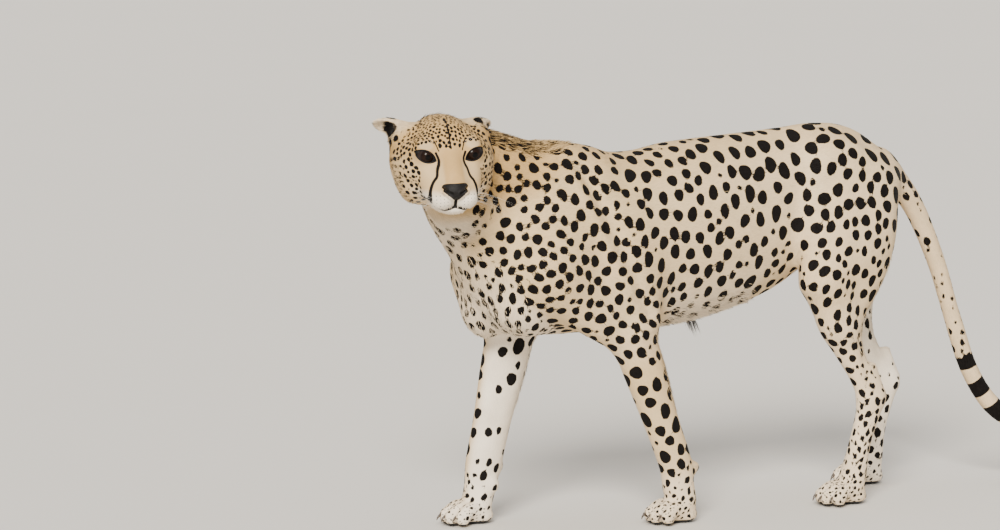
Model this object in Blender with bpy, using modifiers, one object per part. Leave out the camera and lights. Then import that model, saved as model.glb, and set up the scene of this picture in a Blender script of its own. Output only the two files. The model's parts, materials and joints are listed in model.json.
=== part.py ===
"""A life-size cheetah, caught in mid walk with its head turned to its left.

Metres, +Z up. The animal walks towards -X, and its left side faces -Y. Flesh is laid on as
named masses (balls and straps) that melt into one another; the whole animal is made as one
skin and then parted into head, neck, trunk, tail, legs, paws and ears with thin cuts.
"""

import math

import bmesh
import bpy
import numpy as np
from mathutils import Matrix, Vector

# ---- driving dimensions -------------------------------------------------------------------
CUT_GAP = 0.0004  # between neighbouring pieces
VOXEL = 0.006  # of the skin that wraps the masses
SKIN_TRIANGLES = 5800  # of the whole animal, before it is parted
HEAD_REACH, FACE_REACH = 0.150, 0.078  # where the skin is drawn finer
SOLE_LEVEL = 0.0  # the floor, on which all four paws are flat

HEAD_SCALE = 1.155  # of the head's own drawing, below
HEAD_CENTRE = Vector((-0.295, -0.090, 0.682))
HEAD_TURN = math.radians(71)  # to its left, from straight ahead
HEAD_NOD = math.radians(4.5)  # nose down
HEAD_TILT = math.radians(2)
EYE_RADIUS = 0.0158
EYE_PLACE = (0.0350, 0.0385, 0.0205)
EYE_SLANT = math.radians(21)  # outer corner up
EYE_SPLAY = math.radians(10)  # outwards, from straight ahead
EYE_HALF_WIDTH = 0.0170  # of the opening between the lids
EYE_LIFT = (0.0095, 0.0075)  # of the upper lid above the corners, and the lower one below
LID = 0.0020  # thickness over the eyeball
SOCKET_FLOOR = 0.0015  # below the eyeball's surface
EAR_HALF = (0.0265, 0.0100, 0.0190)  # half its length, thickness and width

PAW_LENGTH = 0.074  # from the knuckle joint to the toe tips
PAW_WIDTH = 0.064

# Joints of each leg: shoulder blade's top, shoulder, elbow, wrist, knuckles; or hip, knee,
# heel, knuckles. The side is -1 for the left and +1 for the right.
FORELEGS = {
    "left": dict(side=-1, blade=(0.030, 0.645), shoulder=(-0.080, 0.482), elbow=(0.094, 0.352),
                 wrist=(0.186, 0.112), knuckle=(0.200, 0.034), out=0.087, depth=1.0,
                 pad=0.038),
    "right": dict(side=1, blade=(-0.010, 0.650), shoulder=(-0.122, 0.470), elbow=(-0.058, 0.348),
                  wrist=(-0.114, 0.112), knuckle=(-0.128, 0.034), out=0.089, depth=1.1,
                  pad=0.029),
}
HINDLEGS = {
    "left": dict(side=-1, hip=(0.602, 0.610), knee=(0.504, 0.423), heel=(0.617, 0.196),
                 knuckle=(0.577, 0.032), out=0.083, haunch=(0.450, 0.745)),
    "right": dict(side=1, hip=(0.606, 0.606), knee=(0.636, 0.398), heel=(0.765, 0.196),
                  knuckle=(0.730, 0.032), out=0.083, haunch=(0.520, 0.812)),
}
# The trunk's sections: place along it, top, bottom, half width.
TRUNK = [
    (-0.155, 0.570, 0.410, 0.058),
    (-0.125, 0.606, 0.376, 0.079),
    (-0.085, 0.646, 0.352, 0.093),
    (-0.030, 0.684, 0.347, 0.102),
    (0.030, 0.690, 0.347, 0.107),
    (0.090, 0.680, 0.345, 0.109),
    (0.150, 0.680, 0.346, 0.109),
    (0.210, 0.690, 0.349, 0.107),
    (0.270, 0.695, 0.355, 0.103),
    (0.340, 0.699, 0.369, 0.095),
    (0.410, 0.703, 0.387, 0.084),
    (0.470, 0.707, 0.413, 0.076),
    (0.530, 0.712, 0.455, 0.071),
    (0.590, 0.708, 0.500, 0.066),
    (0.640, 0.690, 0.540, 0.054),
    (0.685, 0.655, 0.575, 0.038),
]
TAIL = [
    ((0.650, 0.000, 0.625), 0.036),
    ((0.705, 0.000, 0.610), 0.030),
    ((0.765, -0.004, 0.545), 0.024),
    ((0.815, -0.010, 0.440), 0.021),
    ((0.850, -0.018, 0.330), 0.0195),
    ((0.885, -0.028, 0.225), 0.019),
    ((0.935, -0.040, 0.150), 0.020),
    ((1.000, -0.052, 0.118), 0.022),
    ((1.062, -0.060, 0.130), 0.021),
    ((1.100, -0.064, 0.152), 0.013),
]


# ---- masses of flesh ----------------------------------------------------------------------
def curve_through(rows, steps):
    """Rows of numbers, joined by a smooth curve and read at this many steps a span."""
    rows = np.asarray(rows, float)
    ends = np.vstack([2 * rows[0] - rows[1], rows, 2 * rows[-1] - rows[-2]])
    found = []
    for a, b, c, d in zip(ends, ends[1:], ends[2:], ends[3:]):
        for t in np.arange(steps) / steps:
            found.append(0.5 * (2 * b + (c - a) * t + (2 * a - 5 * b + 4 * c - d) * t**2
                                + (3 * b - a - 3 * c + d) * t**3))
    return np.array([*found, rows[-1]])


def melt_together(a, b, reach):
    """The nearer of two distances, rounded where they meet."""
    share = np.clip(0.5 + 0.5 * (a - b) / reach, 0, 1)
    return a + (b - a) * share - reach * share * (1 - share)


def egg_distance(local, radii):
    near = np.sqrt(((local / radii) ** 2).sum(-1))
    slope = np.sqrt(((local / radii**2) ** 2).sum(-1))
    return near * (near - 1) / np.maximum(slope, 1e-9)


class Ball:
    """An egg of flesh. turn holds its three axes as rows. A hollow one is scooped out."""

    def __init__(self, centre, radii, turn=None, melt=0.03, hollow=False):
        self.centre = np.array(centre, float)
        self.radii = np.array(radii, float)
        self.turn = np.eye(3) if turn is None else np.array(turn, float)
        self.melt = melt
        self.hollow = hollow

    def reach(self):
        spread = np.sqrt(((self.turn * self.radii[:, None]) ** 2).sum(0))
        return self.centre - spread, self.centre + spread

    def distance(self, points):
        return egg_distance((points - self.centre) @ self.turn.T, self.radii)

    def beads(self):
        return [] if self.hollow else [(self.centre, self.radii, self.turn)]


class Strap:
    """A tube of flesh through stations of (x, y, z, half width, half depth); side is across it."""

    def __init__(self, stations, side=(0, 1, 0), melt=0.03, steps=8, hollow=False):
        rows = curve_through(stations, steps)
        self.line = rows[:, :3]
        self.half = np.maximum(rows[:, 3:5], 0.002)
        self.melt = melt
        self.hollow = hollow
        along = np.diff(self.line, axis=0)
        along /= np.linalg.norm(along, axis=1)[:, None]
        across = np.array(side, float) - along * (along @ np.array(side, float))[:, None]
        across /= np.linalg.norm(across, axis=1)[:, None]
        self.frames = np.stack([across, np.cross(along, across), along], 1)

    def reach(self):
        most = self.half.max(1)[:, None]
        return (self.line - most).min(0), (self.line + most).max(0)

    def distance(self, points):
        best = np.full(len(points), 0.5)
        margin = self.melt + 0.02
        for i in range(len(self.line) - 1):
            start, end = self.line[i], self.line[i + 1]
            most = self.half[i : i + 2].max() + margin
            low, high = np.minimum(start, end) - most, np.maximum(start, end) + most
            near = np.flatnonzero(((points > low) & (points < high)).all(1))
            if not len(near):
                continue
            run = end - start
            offset = points[near] - start
            share = np.clip(offset @ run / (run @ run), 0, 1)
            offset -= share[:, None] * run
            half = self.half[i] + share[:, None] * (self.half[i + 1] - self.half[i])
            radii = np.column_stack([half, half.min(1)])
            best[near] = np.minimum(best[near], egg_distance(offset @ self.frames[i].T, radii))
        return best

    def beads(self):
        if self.hollow:
            return []
        frames = [*self.frames, self.frames[-1]]
        return [(centre, (*half, min(half)), frame)
                for centre, half, frame in zip(self.line, self.half, frames)]


class Barrel:
    """The trunk: sections of (x, top, bottom, half width) along x, with rounded ends."""

    def __init__(self, sections, melt=0.03, steps=8):
        self.rows = curve_through(sections, steps)
        self.melt = melt
        self.hollow = False

    def reach(self):
        x, top, bottom, half = self.rows.T
        end = half.max()
        return (np.array((x[0] - end, -end, bottom.min())), np.array((x[-1] + end, end, top.max())))

    def distance(self, points):
        x, top, bottom, half = self.rows.T
        along = points[:, 0]
        top, bottom, half = (np.interp(along, x, values) for values in (top, bottom, half))
        past = along - np.clip(along, x[0], x[-1])
        local = np.column_stack([past, points[:, 1], points[:, 2] - (top + bottom) / 2])
        return egg_distance(local, np.column_stack([half * 0.8, half, (top - bottom) / 2]))

    def beads(self):
        return [((x, 0, (top + bottom) / 2), (0.05, half, (top - bottom) / 2), np.eye(3))
                for x, top, bottom, half in self.rows[::3]]


class Slit:
    """The almond opening between two lids, down to the eyeball. turn holds across, out and up."""

    def __init__(self, centre, radius, half_width, lifts, turn, melt=0.001):
        self.centre, self.turn = np.array(centre), np.array(turn)
        self.radius, self.half_width, self.lifts = radius, half_width, lifts
        self.melt = melt
        self.hollow = True

    def reach(self):
        return self.centre - 2 * self.radius, self.centre + 2 * self.radius

    def distance(self, points):
        across, out, up = ((points - self.centre) @ self.turn.T).T
        found = np.maximum(-out, self.radius - np.sqrt(across**2 + out**2 + up**2))
        for sign, lift in zip((1, -1), self.lifts):
            radius = (self.half_width**2 + lift**2) / (2 * lift)
            found = np.maximum(found, np.hypot(across, sign * up + radius - lift) - radius)
        return found

    def beads(self):
        return []


class Flesh:
    """All the masses, and how far any point is from the skin that wraps them."""

    def __init__(self):
        self.masses = []

    def ball(self, *a, **k):
        self.masses.append(Ball(*a, **k))

    def strap(self, *a, **k):
        self.masses.append(Strap(*a, **k))

    def distance(self, points):
        found = np.full(len(points), 0.5)
        for mass in self.masses:
            low, high = mass.reach()
            margin = mass.melt + 0.02
            near = np.flatnonzero(((points > low - margin) & (points < high + margin)).all(1))
            if not len(near):
                continue
            own = mass.distance(points[near])
            if mass.hollow:
                found[near] = -melt_together(-found[near], own, mass.melt)
            else:
                found[near] = melt_together(found[near], own, mass.melt)
        return found

    def slope(self, points, step=0.0008):
        corners = np.array([(1, 1, 1), (1, -1, -1), (-1, 1, -1), (-1, -1, 1)], float)
        return sum(c * self.distance(points + c * step)[:, None] for c in corners) / (4 * step)


def flesh_of_trunk(flesh):
    flesh.masses.append(Barrel(TRUNK))
    flesh.ball((-0.135, 0.040, 0.410), (0.052, 0.052, 0.066), melt=0.04)  # breast, right
    flesh.ball((-0.105, -0.036, 0.420), (0.060, 0.050, 0.062), melt=0.04)  # breast, left
    for side in (-1, 1):
        flesh.ball((0.550, side * 0.050, 0.640), (0.050, 0.030, 0.040), melt=0.05)  # hip bone


def flesh_of_foreleg(flesh, side, blade, shoulder, elbow, wrist, knuckle, out, depth, pad):
    def at(place, across, *half):
        return (place[0], side * across, place[1], *half)

    def between(a, b, share):
        return (a[0] + (b[0] - a[0]) * share, a[1] + (b[1] - a[1]) * share)

    flesh.strap([at(blade, 0.030, 0.024, 0.058),
                 at(between(blade, shoulder, 0.5), 0.066, 0.032, 0.072),
                 at(shoulder, 0.080, 0.038, 0.056)], melt=0.045)  # shoulder blade and its muscles
    flesh.ball(at(between(shoulder, elbow, 0.05), 0.078), (0.052, 0.040, 0.056), melt=0.04)
    flesh.strap([at(shoulder, 0.078, 0.036, 0.052),
                 at(between(shoulder, elbow, 0.5), 0.084, 0.036, 0.060),
                 at(elbow, out - 0.004, 0.032, 0.046)], melt=0.04)  # upper arm
    heel = (elbow[0] + 0.030, elbow[1] + 0.024)
    flesh.strap([at((blade[0] + 0.040, blade[1] - 0.085), 0.074, 0.026, 0.040),
                 at(between(blade, heel, 0.62), 0.084, 0.032, 0.050),
                 at(heel, out, 0.020, 0.024)], melt=0.045)  # triceps, down to the point of the elbow
    flesh.ball(at(heel, out), (0.016, 0.015, 0.018), melt=0.02)
    mid = between(elbow, wrist, 0.30)
    low = between(elbow, wrist, 0.68)
    hand = between(wrist, knuckle, 0.55)
    flesh.strap([at(elbow, out, 0.036, 0.046 * depth), at(mid, out, 0.034, 0.042 * depth),
                 at(low, out, 0.029, 0.036 * depth), at(wrist, out, 0.029, 0.034 * depth),
                 at(hand, out, 0.027, 0.032), at((knuckle[0], knuckle[1] + 0.006), out, 0.030, 0.029)],
                melt=0.02)
    flesh.ball(at((wrist[0] + pad, wrist[1] - 0.012), out + 0.004), (0.014, 0.011, 0.012), melt=0.016)
    flesh.ball(at((wrist[0] + 0.006, wrist[1] - 0.040), out - 0.025), (0.013, 0.009, 0.014), melt=0.012)


def flesh_of_hindleg(flesh, side, hip, knee, heel, knuckle, out, **cut):
    def at(place, across, *half):
        return (place[0], side * across, place[1], *half)

    def between(a, b, share):
        return (a[0] + (b[0] - a[0]) * share, a[1] + (b[1] - a[1]) * share)

    flesh.strap([at((hip[0] - 0.004, hip[1] + 0.01), 0.040, 0.040, 0.088),
                 at(between(hip, knee, 0.45), 0.066, 0.046, 0.092),
                 at(between(hip, knee, 0.85), 0.084, 0.042, 0.062),
                 at(knee, out + 0.006, 0.034, 0.044)], melt=0.03)  # thigh
    ham = between(hip, between(knee, heel, 0.35), 0.5)
    flesh.strap([at((hip[0] + 0.060, hip[1] - 0.015), 0.034, 0.034, 0.050),
                 at((ham[0] + 0.052, ham[1] - 0.005), 0.062, 0.036, 0.056),
                 at(between(knee, heel, 0.38), out, 0.026, 0.040)], melt=0.045)  # hamstrings
    flesh.strap([at(knee, out + 0.004, 0.034, 0.042), at(between(knee, heel, 0.4), out, 0.027, 0.038),
                 at(between(knee, heel, 0.78), out, 0.020, 0.024),
                 at(heel, out, 0.020, 0.024)], melt=0.03)  # shin and calf
    flesh.strap([at((heel[0] + 0.004, heel[1] + 0.060), out, 0.008, 0.012),
                 at((heel[0] + 0.021, heel[1] + 0.008), out, 0.013, 0.013)], melt=0.025)  # heel tendon
    flesh.strap([at((heel[0] + 0.004, heel[1] - 0.008), out, 0.022, 0.028),
                 at(between(heel, knuckle, 0.5), out, 0.0215, 0.0235),
                 at((knuckle[0], knuckle[1] + 0.004), out, 0.029, 0.027)], melt=0.02)  # long foot


def flesh_of_paw(flesh, x, y):
    """Four toes and the heel pad, pointing to -X, with a blunt claw on each toe."""
    flesh.ball((x + 0.004, y, 0.0145), (0.027, 0.028, 0.0165), melt=0.012)
    flesh.ball((x - 0.026, y, 0.022), (0.030, 0.028, 0.020), melt=0.012)
    for across, reach in ((-0.375, 0.82), (-0.13, 1.0), (0.13, 0.98), (0.375, 0.80)):
        lateral = y + across * PAW_WIDTH
        splay = across * 0.014
        tip = x - PAW_LENGTH * reach
        flesh.strap([(x - 0.004, lateral - splay, 0.030, 0.0105, 0.014),
                     (x - 0.50 * PAW_LENGTH * reach, lateral, 0.0285, 0.0112, 0.0145),
                     (tip + 0.0125, lateral + splay, 0.0145, 0.0112, 0.0155)], melt=0.006)
        flesh.strap([(tip + 0.004, lateral + splay, 0.0165, 0.0028, 0.0038),
                     (tip - 0.009, lateral + splay * 1.3, 0.0085, 0.0018, 0.0020)], melt=0.003, steps=2)


class HeadFrame:
    """Turns the head's own drawing (x to its right, y to the nose, z up) into the animal's frame."""

    def __init__(self):
        nose = Vector((-math.cos(HEAD_TURN) * math.cos(HEAD_NOD),
                       -math.sin(HEAD_TURN) * math.cos(HEAD_NOD), -math.sin(HEAD_NOD)))
        right = nose.cross(Vector((0, 0, 1))).normalized()
        right = Matrix.Rotation(HEAD_TILT, 3, nose) @ right
        self.axes = np.array([right, nose, right.cross(nose)])
        self.centre = np.array(HEAD_CENTRE)

    def place(self, x, y, z):
        return self.centre + HEAD_SCALE * (np.array((x, y, z)) @ self.axes)

    def ball(self, flesh, x, y, z, radii, melt=0.012, spin=0.0, tip=0.0, hollow=False, both=True):
        """One ball, or a pair of them at x and -x. spin turns it about z, tip about y."""
        for side in (1, -1) if both and x else (1,):
            own = Matrix.Rotation(-side * spin, 3, "Z") @ Matrix.Rotation(-side * tip, 3, "Y")
            turn = np.array(own).T @ self.axes
            flesh.ball(self.place(side * x, y, z), HEAD_SCALE * np.array(radii), turn,
                       melt=melt * HEAD_SCALE, hollow=hollow)

    def strap(self, flesh, stations, melt=0.012, hollow=False, steps=3):
        """A strap, or a pair of them where it stands off the middle."""
        for side in (1, -1) if any(s[0] for s in stations) else (1,):
            rows = [(*self.place(side * x, y, z), HEAD_SCALE * w, HEAD_SCALE * h)
                    for x, y, z, w, h in stations]
            flesh.strap(rows, side=self.axes[0], melt=melt * HEAD_SCALE, hollow=hollow, steps=steps)


def flesh_of_head(flesh, head):
    head.ball(flesh, 0, -0.028, 0.020, (0.054, 0.064, 0.051), melt=0.03)  # brain case
    head.ball(flesh, 0, 0.012, 0.026, (0.043, 0.042, 0.040), melt=0.02)  # forehead
    head.strap(flesh, [(0, 0.020, 0.018, 0.028, 0.028), (0, 0.052, 0.002, 0.022, 0.026),
                       (0, 0.084, -0.020, 0.0185, 0.016)], melt=0.016, steps=10)  # bridge of the nose
    head.ball(flesh, 0, 0.048, -0.028, (0.036, 0.037, 0.032), melt=0.016)  # muzzle
    head.ball(flesh, 0.0175, 0.075, -0.0415, (0.0190, 0.0210, 0.0165), melt=0.010)  # whisker pads
    head.ball(flesh, 0, 0.0935, -0.0265, (0.0200, 0.0090, 0.0085), melt=0.006)  # nose leather
    head.ball(flesh, 0, 0.0935, -0.0325, (0.0110, 0.0075, 0.0075), melt=0.006)
    head.strap(flesh, [(0, 0.076, -0.060, 0.0150, 0.0085), (0, 0.045, -0.058, 0.026, 0.014),
                       (0, 0.000, -0.050, 0.038, 0.020)], melt=0.010, steps=10)  # lower jaw
    head.ball(flesh, 0.028, 0.046, -0.020, (0.018, 0.026, 0.022), melt=0.02)  # below the eyes
    head.ball(flesh, 0.043, -0.008, -0.020, (0.031, 0.042, 0.042), melt=0.02)  # cheeks
    head.ball(flesh, 0.055, -0.034, 0.010, (0.022, 0.032, 0.034), melt=0.03)  # ruff below the ears
    head.strap(flesh, [(0.034, 0.044, -0.004, 0.008, 0.009), (0.052, 0.018, -0.002, 0.010, 0.011),
                       (0.061, -0.020, 0.004, 0.011, 0.014)], melt=0.020)  # cheek bones
    head.ball(flesh, 0.050, 0.010, 0.012, (0.014, 0.024, 0.020), melt=0.02)  # temples
    head.ball(flesh, 0.029, 0.029, 0.0335, (0.020, 0.015, 0.008), melt=0.02, tip=0.35)  # brows
    head.ball(flesh, 0.054, -0.042, 0.036, (0.020, 0.022, 0.020), melt=0.02)  # roots of the ears


def flesh_of_lids(flesh, head):
    """Lids over each eyeball, and the almond slit between them."""
    for side in (1, -1):
        centre, radius = head.place(side * EYE_PLACE[0], *EYE_PLACE[1:]), EYE_RADIUS * HEAD_SCALE
        flesh.ball(centre, [radius + LID] * 3, melt=0.010)
        turn = Matrix.Rotation(-side * EYE_SPLAY, 3, "Z") @ Matrix.Rotation(-side * EYE_SLANT, 3, "Y")
        across, out, up = np.array(turn).T @ head.axes
        width, *lifts = HEAD_SCALE * np.array((EYE_HALF_WIDTH, *EYE_LIFT))
        flesh.masses.append(Slit(centre, radius - SOCKET_FLOOR, width, lifts, (across, out, up)))


def flesh_of_ears(flesh, head):
    """Short, wide ears, held low and out, with the cup facing forward; the left is laid back."""
    right = ((0.0745, -0.050, 0.0525), (0.95, -0.15, 0.18), (0.20, 0.70, -0.62),
             (0.0185, 0.0088, 0.0140))
    left = ((-0.0625, -0.058, 0.0455), (-0.80, -0.60, -0.10), (-0.35, 0.45, -0.80),
            (0.013, 0.007, 0.012))
    for middle, out, facing, cup_half in (right, left):
        length = np.array(out) / np.linalg.norm(out)
        front = facing - length * (length @ facing)
        front /= np.linalg.norm(front)
        turn = np.array((length, front, np.cross(length, front))) @ head.axes
        flesh.ball(head.place(*middle), HEAD_SCALE * np.array(EAR_HALF), turn, melt=0.012)
        cup = middle + front * EAR_HALF[1] + length * (0.0225 - cup_half[0])
        flesh.ball(head.place(*cup), HEAD_SCALE * np.array(cup_half), turn, melt=0.004, hollow=True)


def flesh_of_neck(flesh):
    flesh.strap([(0.010, 0.000, 0.560, 0.085, 0.125), (-0.075, 0.004, 0.585, 0.082, 0.118),
                 (-0.150, 0.010, 0.624, 0.074, 0.102), (-0.215, 0.010, 0.656, 0.066, 0.088),
                 (-0.268, -0.020, 0.678, 0.056, 0.070)], melt=0.035)
    flesh.strap([(-0.235, -0.030, 0.600, 0.050, 0.052), (-0.205, 0.008, 0.560, 0.056, 0.050),
                 (-0.150, 0.004, 0.490, 0.062, 0.050)], melt=0.045)  # throat


def whole_cheetah():
    flesh, head = Flesh(), HeadFrame()
    flesh_of_trunk(flesh)
    for leg in FORELEGS.values():
        flesh_of_foreleg(flesh, **leg)
    for leg in HINDLEGS.values():
        flesh_of_hindleg(flesh, **leg)
    for leg in (*FORELEGS.values(), *HINDLEGS.values()):
        flesh_of_paw(flesh, leg["knuckle"][0], leg["side"] * leg["out"])
    flesh.strap([(*place, r, r) for place, r in TAIL], melt=0.03)
    flesh_of_neck(flesh)
    flesh_of_head(flesh, head)
    flesh_of_ears(flesh, head)
    flesh_of_lids(flesh, head)
    return flesh, head


# ---- the skin that wraps them -------------------------------------------------------------
def beads_mesh(flesh):
    """Overlapping spheres threaded through every mass, as a first wrap for the remesher."""
    whole = bmesh.new()
    for mass in flesh.masses:
        string = bmesh.new()
        for centre, radii, turn in mass.beads():
            frame = Matrix(np.array(turn).T.tolist()) @ Matrix.Diagonal(Vector(radii))
            bmesh.ops.create_uvsphere(string, u_segments=14, v_segments=8, radius=1.0,
                                      matrix=Matrix.Translation(Vector(centre)) @ frame.to_4x4())
        mesh = bpy.data.meshes.new("string")
        string.to_mesh(mesh)
        string.free()
        whole.from_mesh(mesh)
        bpy.data.meshes.remove(mesh)
    mesh = bpy.data.meshes.new("wrap")
    whole.to_mesh(mesh)
    whole.free()
    return mesh


def with_modifier(obj, kind, **settings):
    """The object's mesh after one modifier."""
    modifier = obj.modifiers.new(kind.title(), kind)
    for name, value in settings.items():
        setattr(modifier, name, value)
    graph = bpy.context.evaluated_depsgraph_get()
    mesh = bpy.data.meshes.new_from_object(obj.evaluated_get(graph))
    obj.modifiers.clear()
    obj.data = mesh
    return obj


def points_of(mesh):
    found = np.empty(len(mesh.vertices) * 3)
    mesh.vertices.foreach_get("co", found)
    return found.reshape(-1, 3)


def relax(mesh, points, share=0.5):
    """Evens out the spacing of the points, each towards the middle of its neighbours."""
    edges = np.empty(len(mesh.edges) * 2, np.int64)
    mesh.edges.foreach_get("vertices", edges)
    a, b = edges.reshape(-1, 2).T
    total = np.zeros_like(points)
    for axis in range(3):
        total[:, axis] = (np.bincount(a, points[b, axis], len(points))
                          + np.bincount(b, points[a, axis], len(points)))
    count = np.bincount(a, minlength=len(points)) + np.bincount(b, minlength=len(points))
    return points + share * (total / count[:, None] - points)


def make_finer(mesh, centre, radius):
    """Halves the spacing of the points round a place."""
    bm = bmesh.new()
    bm.from_mesh(mesh)
    near = {v for v in bm.verts if (v.co - Vector(centre)).length < radius}
    edges = [e for e in bm.edges if e.verts[0] in near and e.verts[1] in near]
    bmesh.ops.subdivide_edges(bm, edges=edges, cuts=1, use_grid_fill=True)
    bmesh.ops.triangulate(bm, faces=[f for f in bm.faces if len(f.verts) > 4])
    bm.to_mesh(mesh)
    bm.free()


def settle(mesh, flesh, rounds=4, most=0.012):
    """Moves each point of the mesh onto the skin of the masses."""
    points = points_of(mesh)
    for turn in range(rounds):
        points = relax(mesh, points, 0.5 if turn < rounds - 1 else 0.0)
        for _ in range(2):
            slope = flesh.slope(points)
            steep = np.maximum((slope**2).sum(1), 0.3)
            move = -slope * (flesh.distance(points) / steep)[:, None]
            size = np.linalg.norm(move, axis=1)[:, None]
            points += move * np.minimum(1, most / np.maximum(size, 1e-9))
    mesh.vertices.foreach_set("co", points.astype(np.float32).ravel())
    mesh.update()


def wrap(flesh, head):
    """The whole animal as one closed skin."""
    animal = bpy.data.objects.new("trunk", beads_mesh(flesh))
    bpy.context.scene.collection.objects.link(animal)
    with_modifier(animal, "REMESH", mode="VOXEL", voxel_size=VOXEL)
    settle(animal.data, flesh, rounds=3)
    make_finer(animal.data, head.centre, HEAD_REACH)
    make_finer(animal.data, head.place(0, 0.05, 0), FACE_REACH)
    settle(animal.data, flesh, rounds=2)
    with_modifier(animal, "TRIANGULATE")
    with_modifier(animal, "DECIMATE", ratio=SKIN_TRIANGLES / len(animal.data.polygons))
    return animal


# ---- parting it into pieces ---------------------------------------------------------------
def box_cutter(centre, half, axes=None, grow=0.0):
    """A closed box. axes are its three directions as rows, and grow widens it by a gap."""
    bm = bmesh.new()
    bmesh.ops.create_cube(bm, size=2.0)
    turn = Matrix.Identity(3) if axes is None else Matrix(np.array(axes).T.tolist())
    scale = Matrix.Diagonal(Vector(np.array(half) + grow))
    bmesh.ops.transform(bm, verts=bm.verts,
                        matrix=Matrix.Translation(Vector(centre)) @ (turn @ scale).to_4x4())
    mesh = bpy.data.meshes.new("cutter")
    bm.to_mesh(mesh)
    bm.free()
    cutter = bpy.data.objects.new("cutter", mesh)
    cutter.hide_render = True
    cutter.display_type = "WIRE"
    return cutter


def beyond(point, normal, size, grow=0.0):
    """A box that holds what lies past a plane through the point."""
    normal = Vector(normal).normalized()
    side = Vector((0, 0, 1)).cross(normal).normalized()
    half = np.array(size) / 2
    return box_cutter(np.array(point) + np.array(normal) * half[0], half,
                      (normal, side, normal.cross(side)), grow)


def boolean(obj, cutter, operation):
    bpy.context.scene.collection.objects.link(cutter)
    with_modifier(obj, "BOOLEAN", object=cutter, operation=operation, solver="EXACT")
    bpy.context.scene.collection.objects.unlink(cutter)
    return obj


def part_off(rest, name, shape, *place):
    """Takes a region out of the rest as a piece of its own, and leaves a thin gap round it."""
    piece = bpy.data.objects.new(name, rest.data.copy())
    bpy.context.scene.collection.objects.link(piece)
    boolean(piece, shape(*place), "INTERSECT")
    boolean(rest, shape(*place, grow=CUT_GAP), "DIFFERENCE")
    return piece


def regions(head):
    """Name, shape and place of each piece, in the order in which they are cut off."""
    found = []
    for side, name in ((1, "right"), (-1, "left")):
        outward = np.array((side * 0.92, -0.10, 0.36)) @ head.axes
        root = head.place(side * 0.0635, -0.044, 0.0415)
        found.append((f"ear_{name}", beyond, root, outward, (0.08, 0.075, 0.075)))
    found.append(("head", beyond, (-0.215, -0.020, 0.660), (-0.74, -0.50, 0.45), (0.5, 0.7, 0.7)))
    found.append(("neck", beyond, (-0.115, 0.0, 0.605), (-0.795, 0, 0.606), (0.3, 0.5, 0.5)))
    for name, leg in FORELEGS.items():
        x, y = leg["knuckle"][0], leg["side"] * leg["out"]
        ankle = leg["wrist"][1] - 0.03
        found.append((f"forepaw_{name}", box_cutter, (x, y, ankle - 0.1), (0.14, 0.07, 0.1)))
        found.append((f"foreleg_{name}", box_cutter, (leg["elbow"][0], y, 0.1), (0.2, 0.075, 0.2355)))
    for name, leg in HINDLEGS.items():
        x, y = leg["knuckle"][0], leg["side"] * leg["out"]
        front, back = leg["haunch"]
        middle, half = (front + back) / 2, (back - front) / 2
        outward = np.array((0, 0.945 * leg["side"], -0.327))
        upward = np.array((0, 0.327 * leg["side"], 0.945))
        haunch = (middle, 0.02 * leg["side"], 0.40) + 0.25 * outward + 0.14 * upward
        found.append((f"hindpaw_{name}", box_cutter, (x, y, -0.02), (0.12, 0.055, 0.1)))
        found.append((f"hindleg_{name}", box_cutter, (middle, y * 1.15, 0.185), (half, 0.078, 0.20)))
        found.append((f"thigh_{name}", box_cutter, haunch, (0.25, half, 0.16),
                      (outward, np.cross(upward, outward), upward)))
    found.append(("tail_end", beyond, (0.862, -0.02, 0.295), (0.4, -0.1, -0.9), (0.5, 0.3, 0.5)))
    found.append(("tail", beyond, (0.722, 0.0, 0.592), (0.80, 0, -0.60), (0.6, 0.16, 0.5)))
    return found


def eyeball(name, centre, radius, axis):
    bm = bmesh.new()
    turn = Vector((0, 0, 1)).rotation_difference(Vector(axis)).to_matrix().to_4x4()
    bmesh.ops.create_uvsphere(bm, u_segments=16, v_segments=10, radius=radius,
                              matrix=Matrix.Translation(Vector(centre)) @ turn)
    mesh = bpy.data.meshes.new(name)
    bm.to_mesh(mesh)
    bm.free()
    return bpy.data.objects.new(name, mesh)


def material(name, colour, roughness):
    made = bpy.data.materials.new(name)
    made.use_nodes = True
    shader = made.node_tree.nodes["Principled BSDF"]
    shader.inputs["Base Color"].default_value = (*colour, 1)
    shader.inputs["Roughness"].default_value = roughness
    made.diffuse_color = (*colour, 1)
    return made


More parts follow.
